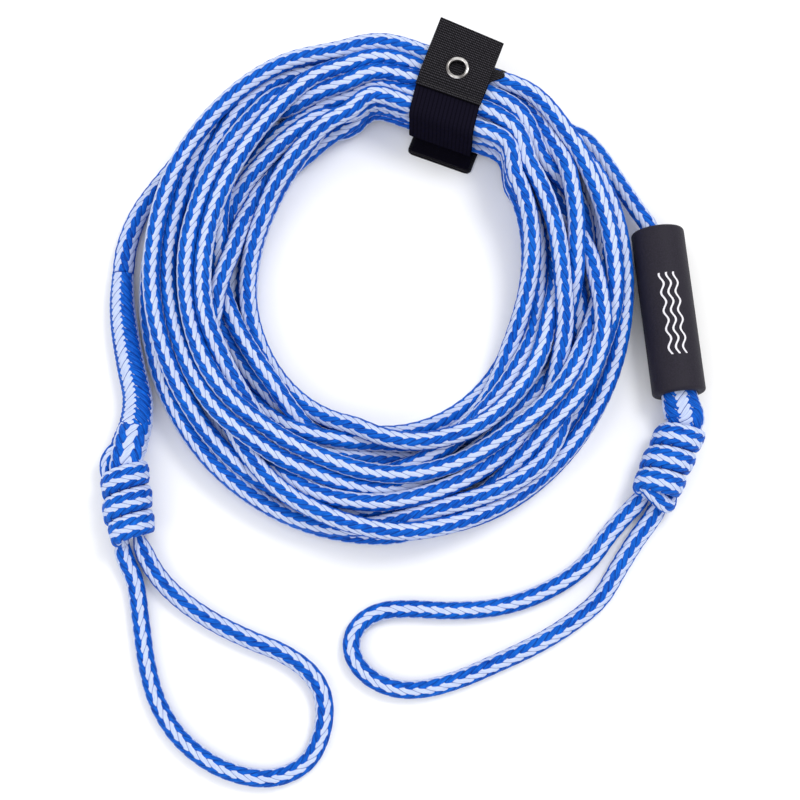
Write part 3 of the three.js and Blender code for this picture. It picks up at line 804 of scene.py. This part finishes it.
def tape(name, corners, width, thickness, shift, relief, columns=25, corner_radius=(0, 0), skew=0.0):
    """A closed flat tape. shift and relief are functions of the run along the tape; relief also
    takes the place across it and gives how far each face stands in. skew slants its far end."""
    line, run = rounded_line(corners)
    tangent = np.gradient(line, axis=0)
    tangent /= np.linalg.norm(tangent, axis=1)[:, None]
    normal = np.stack([-tangent[:, 1], tangent[:, 0]], axis=1)
    spread = math.pi / 2 * EDGE_CROWD
    across = np.sin(np.linspace(-spread, spread, columns)) / math.sin(spread)
    half = np.full(len(run), width / 2)
    for from_end, radius in zip((run, run[-1] - run), corner_radius):
        if radius:
            lack = np.clip(radius - from_end, 0, radius)
            half -= radius - np.sqrt(np.maximum(radius ** 2 - lack ** 2, 0))
    side = across[None, :] * half[:, None] - shift(run)[:, None]
    rim = 1 - 0.45 * np.clip((np.abs(across) - 0.93) / 0.07, 0, 1) ** 2
    thick = thickness / 2 * rim[None, :] - relief(run[:, None], across[None, :] * width / 2)
    grids = []
    for sign in (1, -1):
        out = line[:, :1] + sign * normal[:, :1] * thick + skew * side * (run / run[-1])[:, None]
        z = line[:, 1:] + sign * normal[:, 1:] * thick
        grids.append(in_strap(out, side, z).reshape(-1, 3))
    rows = len(run)
    vertices = np.vstack(grids)
    j, i = np.meshgrid(np.arange(rows - 1), np.arange(columns - 1), indexing="ij")
    a = (j * columns + i).ravel()
    upper = np.stack([a, a + 1, a + columns + 1, a + columns], axis=1)
    lower = upper[:, ::-1] + rows * columns
    rim_loop = np.concatenate([np.arange(columns), np.arange(1, rows) * columns + columns - 1,
                               (rows - 1) * columns + np.arange(columns - 2, -1, -1),
                               np.arange(rows - 2, 0, -1) * columns])
    after = np.roll(rim_loop, -1)
    wall = np.stack([after, rim_loop, rim_loop + rows * columns, after + rows * columns], axis=1)
    faces = np.vstack([upper, lower, wall])
    spot = np.tile(np.stack([np.repeat(run, columns), np.tile(across * width / 2, rows)], axis=1), (2, 1))
    piece = mesh_object(name, vertices, faces, spot[faces.ravel()])
    piece.data.uv_layers[0].name = "along_and_across"
    edit(piece)
    face_outwards()
    leave_edit()
    piece["length"] = float(run[-1])
    print(name, round(float(run[-1]) / MM, 1), "mm long,", len(faces), "faces")
    return piece


# %% [markdown]
# The tapes' relief is real geometry where it is big enough to catch the light: the webbing's cross
# ribs and the hook tape's rows. Only the yarns inside a rib are left to the finish.

# %% The relief and the run of the tapes
RIB = 1.7 * MM               # one cross rib of the webbing
YARN = 1.25 * MM             # one yarn of it, across
HOOK_ROW = 2.9 * MM          # one row of hooks
RIB_DEEP, ROW_DEEP = 0.13 * MM, 0.12 * MM
SIDE_RUN = (10 * MM, 20 * MM)            # where the band slips sideways, along it
FLAP_RUN = (80 * MM, 125 * MM)           # and where part of that is taken back
HOOK_FROM, HOOK_RUN = 8 * MM, 26 * MM    # the hook tape's askew stretch
HOOK_SLIP = 0.12                         # and how askew it is


def ribs(run, across):
    return RIB_DEEP * (1 - np.abs(np.cos(np.pi * run / RIB))) + 0 * across


def hook_rows(run, across):
    return ROW_DEEP * (1 - np.abs(np.cos(np.pi * across / HOOK_ROW))) + 0 * run


def no_relief(run, across):
    return 0 * run + 0 * across


def band_shift(run):
    return SIDE_SHIFT * ease(run, *SIDE_RUN) - (SIDE_SHIFT - FLAP_SHIFT) * ease(run, *FLAP_RUN)


def hook_shift(run):
    return np.clip(run - HOOK_FROM, 0, HOOK_RUN) * HOOK_SLIP


def flap_shift(run):
    return FLAP_SHIFT + 0 * run


def no_shift(run):
    return 0 * run


# %% [markdown]
# The outer band goes over the top, down the coil's outer side and under it, and its tip comes out
# inside the ring. The hook tape goes down the inner side and back under the coil, where it grips the
# loop tape on the band. The hang tab is sewn on top and stands out over the ring.

# %% The four tapes of the strap
outer = BUNDLE_SIDE + GAP + WEB_T / 2
inner = INNER_SIDE + GAP + HOOK_T / 2
band_top = BUNDLE_TOP + GAP + WEB_T / 2
band_line = [(BAND_START, band_top, 0), (outer, band_top, BEND), (outer, WEB_T / 2, BEND),
             (-BAND_TIP, WEB_T / 2, 0)]
strap_band = tape("strap_webbing", band_line, WEB_W, WEB_T, band_shift, ribs, corner_radius=(0, 3.5 * MM))
loop_z = WEB_T + GAP + LOOP_T / 2
hook_z = loop_z + LOOP_T / 2 + GAP + HOOK_T / 2
loop_tape = tape("loop_pile_tape", [(-BAND_TIP + 2 * MM, loop_z, 0), (HOOK_BACK, loop_z, 0)],
                 LOOP_W, LOOP_T, flap_shift, no_relief)
hook_line = [(BAND_START - GAP, band_top, 0), (-inner, band_top, HOOK_BEND), (-inner, hook_z, HOOK_BEND),
             (HOOK_BACK, hook_z, 0)]
hook_tape = tape("hook_face_tape", hook_line, HOOK_W, HOOK_T, hook_shift, hook_rows)
tab_low = TAB_FLOOR + WEB_T / 2
tab_high = tab_low + TAB_RISE
tab_line = [(TAB_START, tab_low, 0), (TAB_START + 4 * MM, tab_low, 3 * MM),
            (TAB_START + 9 * MM, tab_high, 4 * MM), (TAB_TIP, tab_high, 0)]
hang_tab = tape("hang_tab_webbing", tab_line, WEB_W, WEB_T, no_shift, ribs, columns=33, skew=0.07)

# %% [markdown]
# The hole through the tab is cut with a boolean and a cylinder, because it falls between the grid's
# lines. It is a little wider than the grommet's bore, for the barrel that lines it.

# %% The tab's hole
EYELET_AT = 15.3 * MM
EYELET_HOLE_R = 5.5 * MM
BARREL = 0.9 * MM
eyelet_middle = in_strap(EYELET_AT, 0, TAB_FLOOR + TAB_RISE)
bpy.ops.mesh.primitive_cylinder_add(vertices=64, radius=EYELET_HOLE_R + BARREL, depth=12 * MM,
                                    location=eyelet_middle)
punch = bpy.context.object
cut = hang_tab.modifiers.new("hole", "BOOLEAN")
cut.operation = "DIFFERENCE"
cut.solver = "EXACT"
cut.object = punch
only(hang_tab)
bpy.ops.object.modifier_apply(modifier="hole")
bpy.data.objects.remove(punch)
print("tab", len(hang_tab.data.polygons), "faces")

# %% [markdown]
# The grommet is a pressed metal eyelet with a nickel finish: a domed flange that rolls over into a
# barrel. A lathe shape needs only its section, so a few points are spun round the hole's axis.

# %% The grommet
RING_SEGMENTS = 72


def spun_ring(name, section, middle):
    """A closed section of [radius, height] points spun round an upright axis through middle."""
    mesh = bpy.data.meshes.new(name)
    ring = bpy.data.objects.new(name, mesh)
    bpy.context.scene.collection.objects.link(ring)
    shape = bmesh.new()
    corners = [shape.verts.new((r, 0, z)) for r, z in section]
    for first, second in zip(corners, corners[1:] + corners[:1]):
        shape.edges.new((first, second))
    shape.to_mesh(mesh)
    shape.free()
    shape = edit(ring)
    for element in (*shape.verts, *shape.edges):
        element.select = True
    bmesh.update_edit_mesh(mesh)
    bpy.ops.mesh.spin(steps=RING_SEGMENTS, angle=2 * math.pi, center=(0, 0, 0), axis=(0, 0, 1),
                      use_auto_merge=True)
    bpy.ops.mesh.select_all(action="SELECT")
    bpy.ops.mesh.remove_doubles(threshold=1e-6)
    face_outwards()
    leave_edit()
    ring.location = middle
    settle_in_place(ring)
    only(ring)
    bpy.ops.object.shade_smooth()
    print(name, len(mesh.polygons), "faces")
    return ring


BARREL_WALL = 0.6 * MM
DOME_R, DOME_STEPS = 1.4 * MM, 14
tab_top = TAB_FLOOR + TAB_RISE + WEB_T
flange = tab_top + 0.15 * MM
grommet_base = in_strap(EYELET_AT, 0, 0)
section = [(BARREL_WALL, flange), (2.85 * MM, flange)]
for i in range(1, DOME_STEPS + 1):
    angle = math.pi * i / DOME_STEPS
    section.append((1.45 * MM + DOME_R * math.cos(angle), flange + DOME_R * math.sin(angle)))
section += [(0, tab_top - BARREL_WALL), (0, TAB_FLOOR + BARREL_WALL), (BARREL_WALL, TAB_FLOOR + BARREL_WALL)]
grommet = spun_ring("grommet_ring", [(EYELET_HOLE_R + out, z) for out, z in section], grommet_base)

# %% [markdown]
# A flat washer closes the grommet on the tab's under side. Its height is that of the CAD washer.

# %% The washer under the tab
washer_low, washer_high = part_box("grommet_washer")
WASHER_IN, WASHER_OUT = EYELET_HOLE_R + 0.7 * MM, EYELET_HOLE_R + 4.7 * MM
EASED = 0.1 * MM             # its outer edge is eased by this much
washer_section = [(WASHER_IN, washer_low.z), (WASHER_OUT - EASED, washer_low.z + EASED),
                  (WASHER_OUT, washer_high.z - EASED), (WASHER_IN, washer_high.z)]
washer = spun_ring("grommet_back_washer", washer_section, grommet_base)

# %% [markdown]
# The tab is held down by a row of thick black thread right across it. Each stitch is a short arch of
# thread, modelled once and copied.

# %% The seam's stitches
ARCH_RINGS, THREAD_SIDES = 7, 8


def stitch_row(name, places, direction, length, thick, height):
    """Short arches of thread in one mesh: places are their middles, direction their run."""
    count, sides = ARCH_RINGS, THREAD_SIDES
    verts, faces = [], []
    side = np.array([-direction[1], direction[0], 0])
    for place in places:
        base = len(verts)
        for i in range(count):
            t = i / (count - 1) * 2 - 1
            rise = height * (1 - t * t) - thick * 0.55
            middle = place + direction * t * length / 2 + np.array([0, 0, rise])
            slope = np.array([0, 0, -2 * height * t * 2 / length])
            tangent = direction + slope
            tangent /= np.linalg.norm(tangent)
            up = np.cross(side, tangent)
            for s in range(sides):
                a = 2 * math.pi * s / sides
                verts.append(middle + (side * math.cos(a) + up * math.sin(a)) * thick / 2)
        for i in range(count - 1):
            for s in range(sides):
                n = (s + 1) % sides
                faces.append([base + i * sides + s, base + i * sides + n, base + (i + 1) * sides + n,
                              base + (i + 1) * sides + s])
    piece = mesh_object(name, np.array(verts), np.array(faces))
    edit(piece)
    bpy.ops.mesh.select_all(action="SELECT")
    bpy.ops.mesh.fill_holes(sides=sides)
    face_outwards()
    leave_edit()
    print(name, len(places), "stitches")
    return piece


SEAM_AT = -2.2 * MM          # out from the bundle's middle line
SEAM_HALF, SEAM_STEP = 21.5 * MM, 3.1 * MM
seam_top = TAB_FLOOR + WEB_T
seam_places = [in_strap(SEAM_AT, side, seam_top) for side in np.arange(-SEAM_HALF, SEAM_HALF, SEAM_STEP)]
tab_seam = stitch_row("tab_seam_stitches", seam_places, strap_side, length=2.3 * MM, thick=0.55 * MM,
                      height=0.45 * MM)


# %% [markdown]
# Now the finishes. Each one is a small net of nodes: a pattern gives colour, roughness and a bump.
# The class below only shortens the calls that add a node and join it to others.

# %% Helpers for the finishes
class Finish:
    """A material whose nodes are added one call at a time."""

    def __init__(self, name, **sockets):
        self.material = bpy.data.materials.new(name)
        self.material.use_nodes = True
        self.nodes = self.material.node_tree.nodes
        self.links = self.material.node_tree.links
        self.shader = self.nodes["Principled BSDF"]
        self.set(**sockets)

    def set(self, **sockets):
        """Sets the shader's sockets by name, with _ for each space."""
        for socket, value in sockets.items():
            self.put(self.shader.inputs[socket.replace("_", " ")], value)

    def put(self, socket, value):
        if isinstance(value, bpy.types.NodeSocket):
            self.links.new(value, socket)
        else:
            socket.default_value = value

    def add(self, kind, inputs=None, output=0, **settings):
        node = self.nodes.new(kind)
        for key, value in settings.items():
            setattr(node, key, value)
        for key, value in (inputs or {}).items():
            self.put(node.inputs[key], value)
        return node.outputs[output]

    def sum(self, operation, a, b=0.0, c=0.0):
        return self.add("ShaderNodeMath", {0: a, 1: b, 2: c}, operation=operation)

    def times(self, a, b):
        return self.sum("MULTIPLY", a, b)

    def plus(self, a, b):
        return self.sum("ADD", a, b)

    def fold(self, value, size):
        """Runs up from 0 to 0.5 and back again in every size."""
        return self.sum("PINGPONG", self.sum("DIVIDE", value, size), 0.5)

    def uv(self, name):
        spot = self.add("ShaderNodeUVMap", uv_map=name)
        parts = self.nodes.new("ShaderNodeSeparateXYZ")
        self.put(parts.inputs[0], spot)
        return parts.outputs[0], parts.outputs[1]

    def place(self, x, y, z=0.0):
        return self.add("ShaderNodeCombineXYZ", {0: x, 1: y, 2: z})

    def here(self):
        return self.add("ShaderNodeTexCoord", output=3)

    def noise(self, vector, scale, detail=2.0, roughness=0.5):
        return self.add("ShaderNodeTexNoise", {"Vector": vector, "Scale": scale, "Detail": detail,
                                               "Roughness": roughness})

    def mix(self, share, first, second):
        node = self.nodes.new("ShaderNodeMix")
        node.data_type = "RGBA"
        for key, value in ((0, share), (6, first), (7, second)):
            self.put(node.inputs[key], value)
        return node.outputs[2]

    def range(self, value, low, high, to_low=0.0, to_high=1.0, smooth=False):
        return self.add("ShaderNodeMapRange", {0: value, 1: low, 2: high, 3: to_low, 4: to_high},
                        interpolation_type="SMOOTHSTEP" if smooth else "LINEAR")

    def bump(self, height, strength, distance):
        return self.add("ShaderNodeBump", {"Height": height, "Strength": strength, "Distance": distance})


def srgb(red, green, blue):
    """A colour as a shader wants it, from the 0 to 255 of a colour picker."""
    def one(share):
        return share / 12.92 if share <= 0.04045 else ((share + 0.055) / 1.055) ** 2.4
    return (one(red / 255), one(green / 255), one(blue / 255), 1)


# %% [markdown]
# The rope's yarns are smooth blue and white plastic fibre. The finish works out the same two strand
# heights as the mesh does, so the colour changes exactly where one strand covers the other. Fine
# streaks run along each strand, and it gets darker in the gaps, where little light falls.

# %% The braided rope
def rope_finish(name, gap, line, yarns=1):
    """gap is where, from a white strand's middle at 0 to its edge at 1, the next strands begin to show,
    and line is how dark the gap is."""
    f = Finish(name, Roughness=0.55)
    u, v = f.uv("braid")
    run = f.times(v, 2)
    along_blue = f.plus(u, run)
    along_white = f.sum("SUBTRACT", u, run)
    edge_blue = f.sum("PINGPONG", along_white, 1)
    edge_white = f.sum("PINGPONG", along_blue, 1)
    if yarns == 2:
        edge_blue, edge_white = (
            f.times(f.sum("ABSOLUTE", f.sum("MULTIPLY_ADD", edge, -2, 1)),
                    f.sum("MULTIPLY_ADD", f.sum("GREATER_THAN", edge, 0.5), 1 - YARN_DIP, YARN_DIP))
            for edge in (edge_blue, edge_white))
    over = f.times(f.sum("COSINE", f.sum("MULTIPLY_ADD", u, math.pi / 2, -math.pi / 4)), WEAVE_RISE)

    def dome(edge):
        under_root = f.sum("MAXIMUM", f.sum("MULTIPLY_ADD", f.times(edge, edge), -1, 1), 0)
        return f.times(f.sum("SQRT", under_root), STRAND_BULGE)

    def streaks(edge, along, other):
        return f.noise(f.place(f.times(edge, 7), f.times(along, 0.5), other), 1.0, 3.0, 0.6)

    blue_height = f.plus(f.plus(over, BLUE_LEAD), dome(edge_blue))
    white_height = f.sum("SUBTRACT", dome(edge_white), over)
    is_white = f.range(f.sum("SUBTRACT", white_height, blue_height), -0.004, 0.004)
    # Painted shade: this mask is highest where the surface lies lowest between the strands, where little
    # light falls.
    deep = f.range(f.sum("MAXIMUM", blue_height, white_height), 0.01, 0.105, 1, 0, smooth=True)
    blue_lines = streaks(edge_blue, along_blue, along_white)
    white_lines = streaks(edge_white, along_white, along_blue)
    slow = f.noise(f.here(), 38, 2.0)
    blue = f.mix(f.range(blue_lines, 0.34, 0.66), srgb(0, 38, 128), srgb(8, 106, 222))
    blue = f.mix(f.range(slow, 0.35, 0.7, 0, 0.4), blue, srgb(14, 110, 214))
    # Painted shade in the colour: darker towards navy in the low places, at the blue strands' edges and in
    # the gaps between strands.
    blue = f.mix(deep, blue, srgb(1, 8, 54))
    blue = f.mix(f.range(edge_blue, gap - 0.2, 1, 0, 0.6), blue, srgb(2, 18, 92))
    white = f.mix(f.range(white_lines, 0.3, 0.7), srgb(168, 182, 220), srgb(208, 220, 246))
    white = f.mix(f.times(deep, 0.9), white, srgb(34, 46, 124))
    white = f.mix(f.range(edge_white, gap, gap + 0.14, 0, line), white, srgb(10, 44, 136))
    lines = f.mix(is_white, blue_lines, white_lines)
    f.set(Base_Color=f.mix(is_white, blue, white), Normal=f.bump(lines, 0.35, 0.0006),
          Roughness=f.range(lines, 0.3, 0.7, 0.62, 0.46), Specular_IOR_Level=0.1, Sheen_Weight=0.02,
          Sheen_Roughness=0.5)
    print(name, len(f.nodes), "nodes")
    return f.material


rope_paint = rope_finish("blue_and_white_braid", 0.86, 0.45)
splice_paint = rope_finish("opened_braid", 0.8, 0.85, yarns=2)

# %% [markdown]
# The foam has fine closed cells, which show as grain, and a print on one side. The print is three
# plain wave lines. It is part of the finish, because ink has no thickness to model.

# %% The foam of the float
WAVE_LONG, WAVE_HIGH, WAVE_APART = 13 * MM, 1.3 * MM, 5 * MM
WAVE_AT, WAVE_RUN = 5 * MM, 58 * MM      # the print's middle and its length, along the float
WAVE_LINES = 3
WAVE_INK = 0.14              # half a line's width, as a share of the space between lines


def foam_finish():
    f = Finish("black_foam", Roughness=0.62)
    spot = f.here()
    around, along = f.uv("round_and_along")
    cells = f.add("ShaderNodeTexVoronoi", {"Vector": spot, "Scale": 1500}, feature="F1")
    grain = f.noise(spot, 900, 3.0, 0.65)
    cloud = f.noise(spot, 45, 3.0)
    shade = f.mix(f.range(grain, 0.35, 0.7), srgb(24, 21, 32), srgb(41, 37, 49))
    shade = f.mix(f.range(cloud, 0.4, 0.7, 0, 0.5), shade, srgb(36, 33, 43))
    wave = f.sum("MULTIPLY_ADD", f.sum("SINE", f.times(along, 2 * math.pi / WAVE_LONG)), WAVE_HIGH, around)
    from_middle = f.sum("ABSOLUTE", f.sum("SUBTRACT", along, WAVE_AT))
    printed = f.sum("LESS_THAN", f.fold(wave, WAVE_APART), WAVE_INK)
    printed = f.times(printed, f.sum("LESS_THAN", f.sum("ABSOLUTE", wave), WAVE_LINES / 2 * WAVE_APART))
    printed = f.times(printed, f.sum("LESS_THAN", from_middle, WAVE_RUN / 2))
    printed = f.times(printed, f.range(grain, 0.25, 0.45, 0.75, 1))
    f.set(Base_Color=f.mix(printed, shade, srgb(226, 224, 230)),
          Roughness=f.range(grain, 0.3, 0.7, 0.5, 0.72),
          Normal=f.bump(f.plus(f.times(cells, 0.6), grain), 0.4, 0.0004), Specular_IOR_Level=0.2)
    return f.material


# %% [markdown]
# The strap's three fabrics are all black, and their texture tells them apart: webbing has knuckles where its
# yarns come up, with a painted highlight on them and painted shade on the lines between them, hook tape is a
# dull hard bristle in rows, and loop pile is fuzz.

# %% The strap's fabrics
HOOK_STEP = 1.3 * MM         # from one hook to the next in its row


def webbing_finish():
    f = Finish("black_webbing", Roughness=0.6)
    along, across = f.uv("along_and_across")
    rib, yarn = f.fold(along, RIB), f.fold(across, YARN)
    fibre = f.noise(f.place(f.times(along, 1500), f.times(across, 700)), 1.0, 2.0)
    # Painted highlight: this mask marks the lit knuckles where the yarns come up.
    knuckle_highlight = f.times(f.range(rib, 0.1, 0.42, smooth=True), f.range(yarn, 0.08, 0.4, smooth=True))
    shade = f.mix(f.range(fibre, 0.35, 0.7), srgb(4, 4, 6), srgb(15, 14, 18))
    shade = f.mix(f.times(knuckle_highlight, f.range(fibre, 0.3, 0.7, 0.25, 0.95)), shade, srgb(80, 78, 85))
    # Painted shade: the lines between the ribs are darkened in the colour.
    shade = f.mix(f.range(rib, 0.0, 0.2, 0.75, 0, smooth=True), shade, srgb(2, 2, 3))
    f.set(Base_Color=shade, Specular_IOR_Level=0.06,
          Normal=f.bump(f.plus(yarn, f.times(fibre, 0.7)), 0.45, 0.00025))
    return f.material


def hook_finish():
    f = Finish("black_hook_tape", Roughness=0.45)
    along, across = f.uv("along_and_across")
    row, hook = f.fold(across, HOOK_ROW), f.fold(along, HOOK_STEP)
    grain = f.noise(f.place(f.times(along, 2600), f.times(across, 2600)), 1.0, 3.0)
    shade = f.mix(f.range(grain, 0.35, 0.7), srgb(14, 12, 23), srgb(26, 24, 37))
    shade = f.mix(f.range(row, 0.0, 0.2, 0.8, 0, smooth=True), shade, srgb(7, 6, 13))
    f.set(Base_Color=shade, Specular_IOR_Level=0.0,
          Normal=f.bump(f.plus(f.times(hook, row), grain), 0.6, 0.0004))
    return f.material


def pile_finish():
    f = Finish("black_loop_pile", Roughness=0.85)
    fuzz = f.noise(f.here(), 2200, 4.0, 0.7)
    f.set(Base_Color=f.mix(f.range(fuzz, 0.35, 0.7), srgb(8, 7, 14), srgb(22, 20, 32)),
          Specular_IOR_Level=0.0, Normal=f.bump(fuzz, 0.8, 0.0006), Sheen_Weight=0.08, Sheen_Roughness=0.4)
    return f.material


# %% [markdown]
# The thread is a twisted one, a little lighter than the webbing. The grommet's plating is bright metal. Slow
# dark patches painted into its colour stand in for dark reflections and keep it from looking like a mirror,
# and a finer pattern is partly wear, which roughens it, and partly painted reflection, which makes it
# brighter and dimmer in spots.

# %% The thread and the grommet
def thread_finish():
    f = Finish("black_thread", Roughness=0.45)
    twist = f.noise(f.here(), 1800, 2.0)
    f.set(Base_Color=f.mix(f.range(twist, 0.35, 0.7), srgb(12, 12, 13), srgb(44, 43, 45)),
          Normal=f.bump(twist, 0.5, 0.0002))
    return f.material


def nickel_finish():
    f = Finish("nickel", Metallic=1.0, Roughness=0.2)
    spot = f.here()
    # The fine noise is partly real wear, which roughens the plating, and partly painted reflection, which
    # makes its colour brighter and dimmer in spots. The slow noise paints dark patches that stand in for dark
    # reflections.
    wear_and_reflection = f.noise(spot, 260, 4.0, 0.6)
    dark_reflection_patches = f.noise(spot, 110, 1.0)
    shade = f.mix(f.range(wear_and_reflection, 0.35, 0.7), srgb(188, 184, 182), srgb(228, 226, 224))
    shade = f.mix(f.range(dark_reflection_patches, 0.42, 0.6, 0, 0.85, smooth=True), shade, srgb(84, 79, 77))
    f.set(Base_Color=shade, Roughness=f.range(wear_and_reflection, 0.3, 0.75, 0.16, 0.26),
          Normal=f.bump(f.noise(spot, 300, 2.0), 0.03, 0.0001))
    return f.material


# %% [markdown]
# Each piece gets one finish. All that is rope shares one, and the two splices have their own, whose
# strands are split in two yarns.

# %% Which piece has which finish
def paint(piece, finish):
    piece.data.materials.clear()
    piece.data.materials.append(finish)


knot_pieces = [left_knot, right_knot, left_neck, left_tail, right_bight]
rope_pieces = [piece for piece, _ in stretches.values()] + knot_pieces
for piece in rope_pieces:
    paint(piece, splice_paint if piece in (left_splice, right_splice) else rope_paint)
for finish, pieces in ((foam_finish(), [float_tube]), (webbing_finish(), [strap_band, hang_tab]),
                       (hook_finish(), [hook_tape]), (pile_finish(), [loop_tape]),
                       (thread_finish(), [tab_seam]), (nickel_finish(), [grommet, washer])):
    for piece in pieces:
        paint(piece, finish)
    print(finish.name, "on", ", ".join(piece.name for piece in pieces))

# %% [markdown]
# A plain pale floor and soft light from all round, as in a product studio. The world is a little
# darker near the horizon than overhead, which gives the rope's sides their shade, and two wide lamps
# give it a direction.

# %% The floor and the lights
FLOOR_SIZE = 12
LOW_LIGHT, HIGH_LIGHT = 0.74, 1.02       # the world's strength low down and overhead
LOW, HIGH = -0.05, 0.75                  # the heights, as the sine of the angle, between which it grows

bpy.ops.mesh.primitive_plane_add(size=FLOOR_SIZE, location=(0, 0, 0))
floor = bpy.context.object
floor.name = "floor"
ground = Finish("pale_floor", Roughness=0.8)
ground.set(Base_Color=srgb(250, 250, 250))
paint(floor, ground.material)

world = bpy.data.worlds.new("studio")
bpy.context.scene.world = world
world.use_nodes = True
sky = world.node_tree.nodes
kinds = ("ShaderNodeTexCoord", "ShaderNodeSeparateXYZ", "ShaderNodeMapRange")
way, split, rise = (sky.new(kind) for kind in kinds)
join = world.node_tree.links.new
join(way.outputs["Generated"], split.inputs[0])
join(split.outputs[2], rise.inputs[0])
for socket, value in ((1, LOW), (2, HIGH), (3, LOW_LIGHT), (4, HIGH_LIGHT)):
    rise.inputs[socket].default_value = value
join(rise.outputs[0], sky["Background"].inputs["Strength"])
sky["Background"].inputs["Color"].default_value = (1, 1, 1, 1)


def soft_light(name, place, size, power):
    lamp = bpy.data.lights.new(name, "AREA")
    lamp.shape = "DISK"
    lamp.size = size
    lamp.energy = power
    light = bpy.data.objects.new(name, lamp)
    bpy.context.scene.collection.objects.link(light)
    light.location = place
    light.rotation_euler = (Vector(place) - LOOK_AT).to_track_quat("Z", "Y").to_euler()


soft_light("key", place=(0.9, 0.7, 1.9), size=0.8, power=16)
soft_light("fill", place=(-1.4, -0.6, 1.6), size=1.4, power=7)

# %% [markdown]
# Last, most pieces are tied to the body that they move with: the coil, the float, or the tab for the grommet
# and its washer. The tab itself and the two eyes only have their place put into their meshes.

coil_pieces = [left_splice, right_splice, *knot_pieces, strap_band, hook_tape, loop_tape, tab_seam]
coil_pieces += [stretches[name][0] for name in rope_names]
for body, pieces in (("coil", coil_pieces), ("float", [float_tube]), ("tab", [grommet, washer])):
    for piece in pieces:
        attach(piece, body)
    print(body, "carries", len(pieces), "pieces")
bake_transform(hang_tab)
for piece, body, knot in ((left_eye, "left_eye", LEFT_KNOT), (right_eye, "right_eye", RIGHT_KNOT)):
    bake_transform(piece)

# %% [markdown]
# Each CAD node is hidden once a piece stands for it. The coil's node is stood for by the first of the coil's
# three pieces.

# %% What stands for what
stands_for = {
    "rope_coil": stretches["coil_rope_1"][0], "left_lead": stretches["left_lead_rope"][0],
    "right_lead": stretches["right_lead_rope"][0], "left_splice": left_splice, "right_splice": right_splice,
    "left_knot": left_knot, "right_knot": right_knot, "left_eye": left_eye, "right_eye": right_eye,
    "float": float_tube, "strap_band": strap_band, "hook_tape": hook_tape, "loop_tape": loop_tape,
    "hang_tab": hang_tab, "grommet": grommet, "grommet_washer": washer,
}
for node, piece in stands_for.items():
    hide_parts(node)

# %% [markdown]
# The rope's whole length is added up and printed. A splice is thicker than the rope, and the knot it goes
# into moves with it.


print("rope in all", round(sum(piece["length"] for piece in rope_pieces), 2), "m")
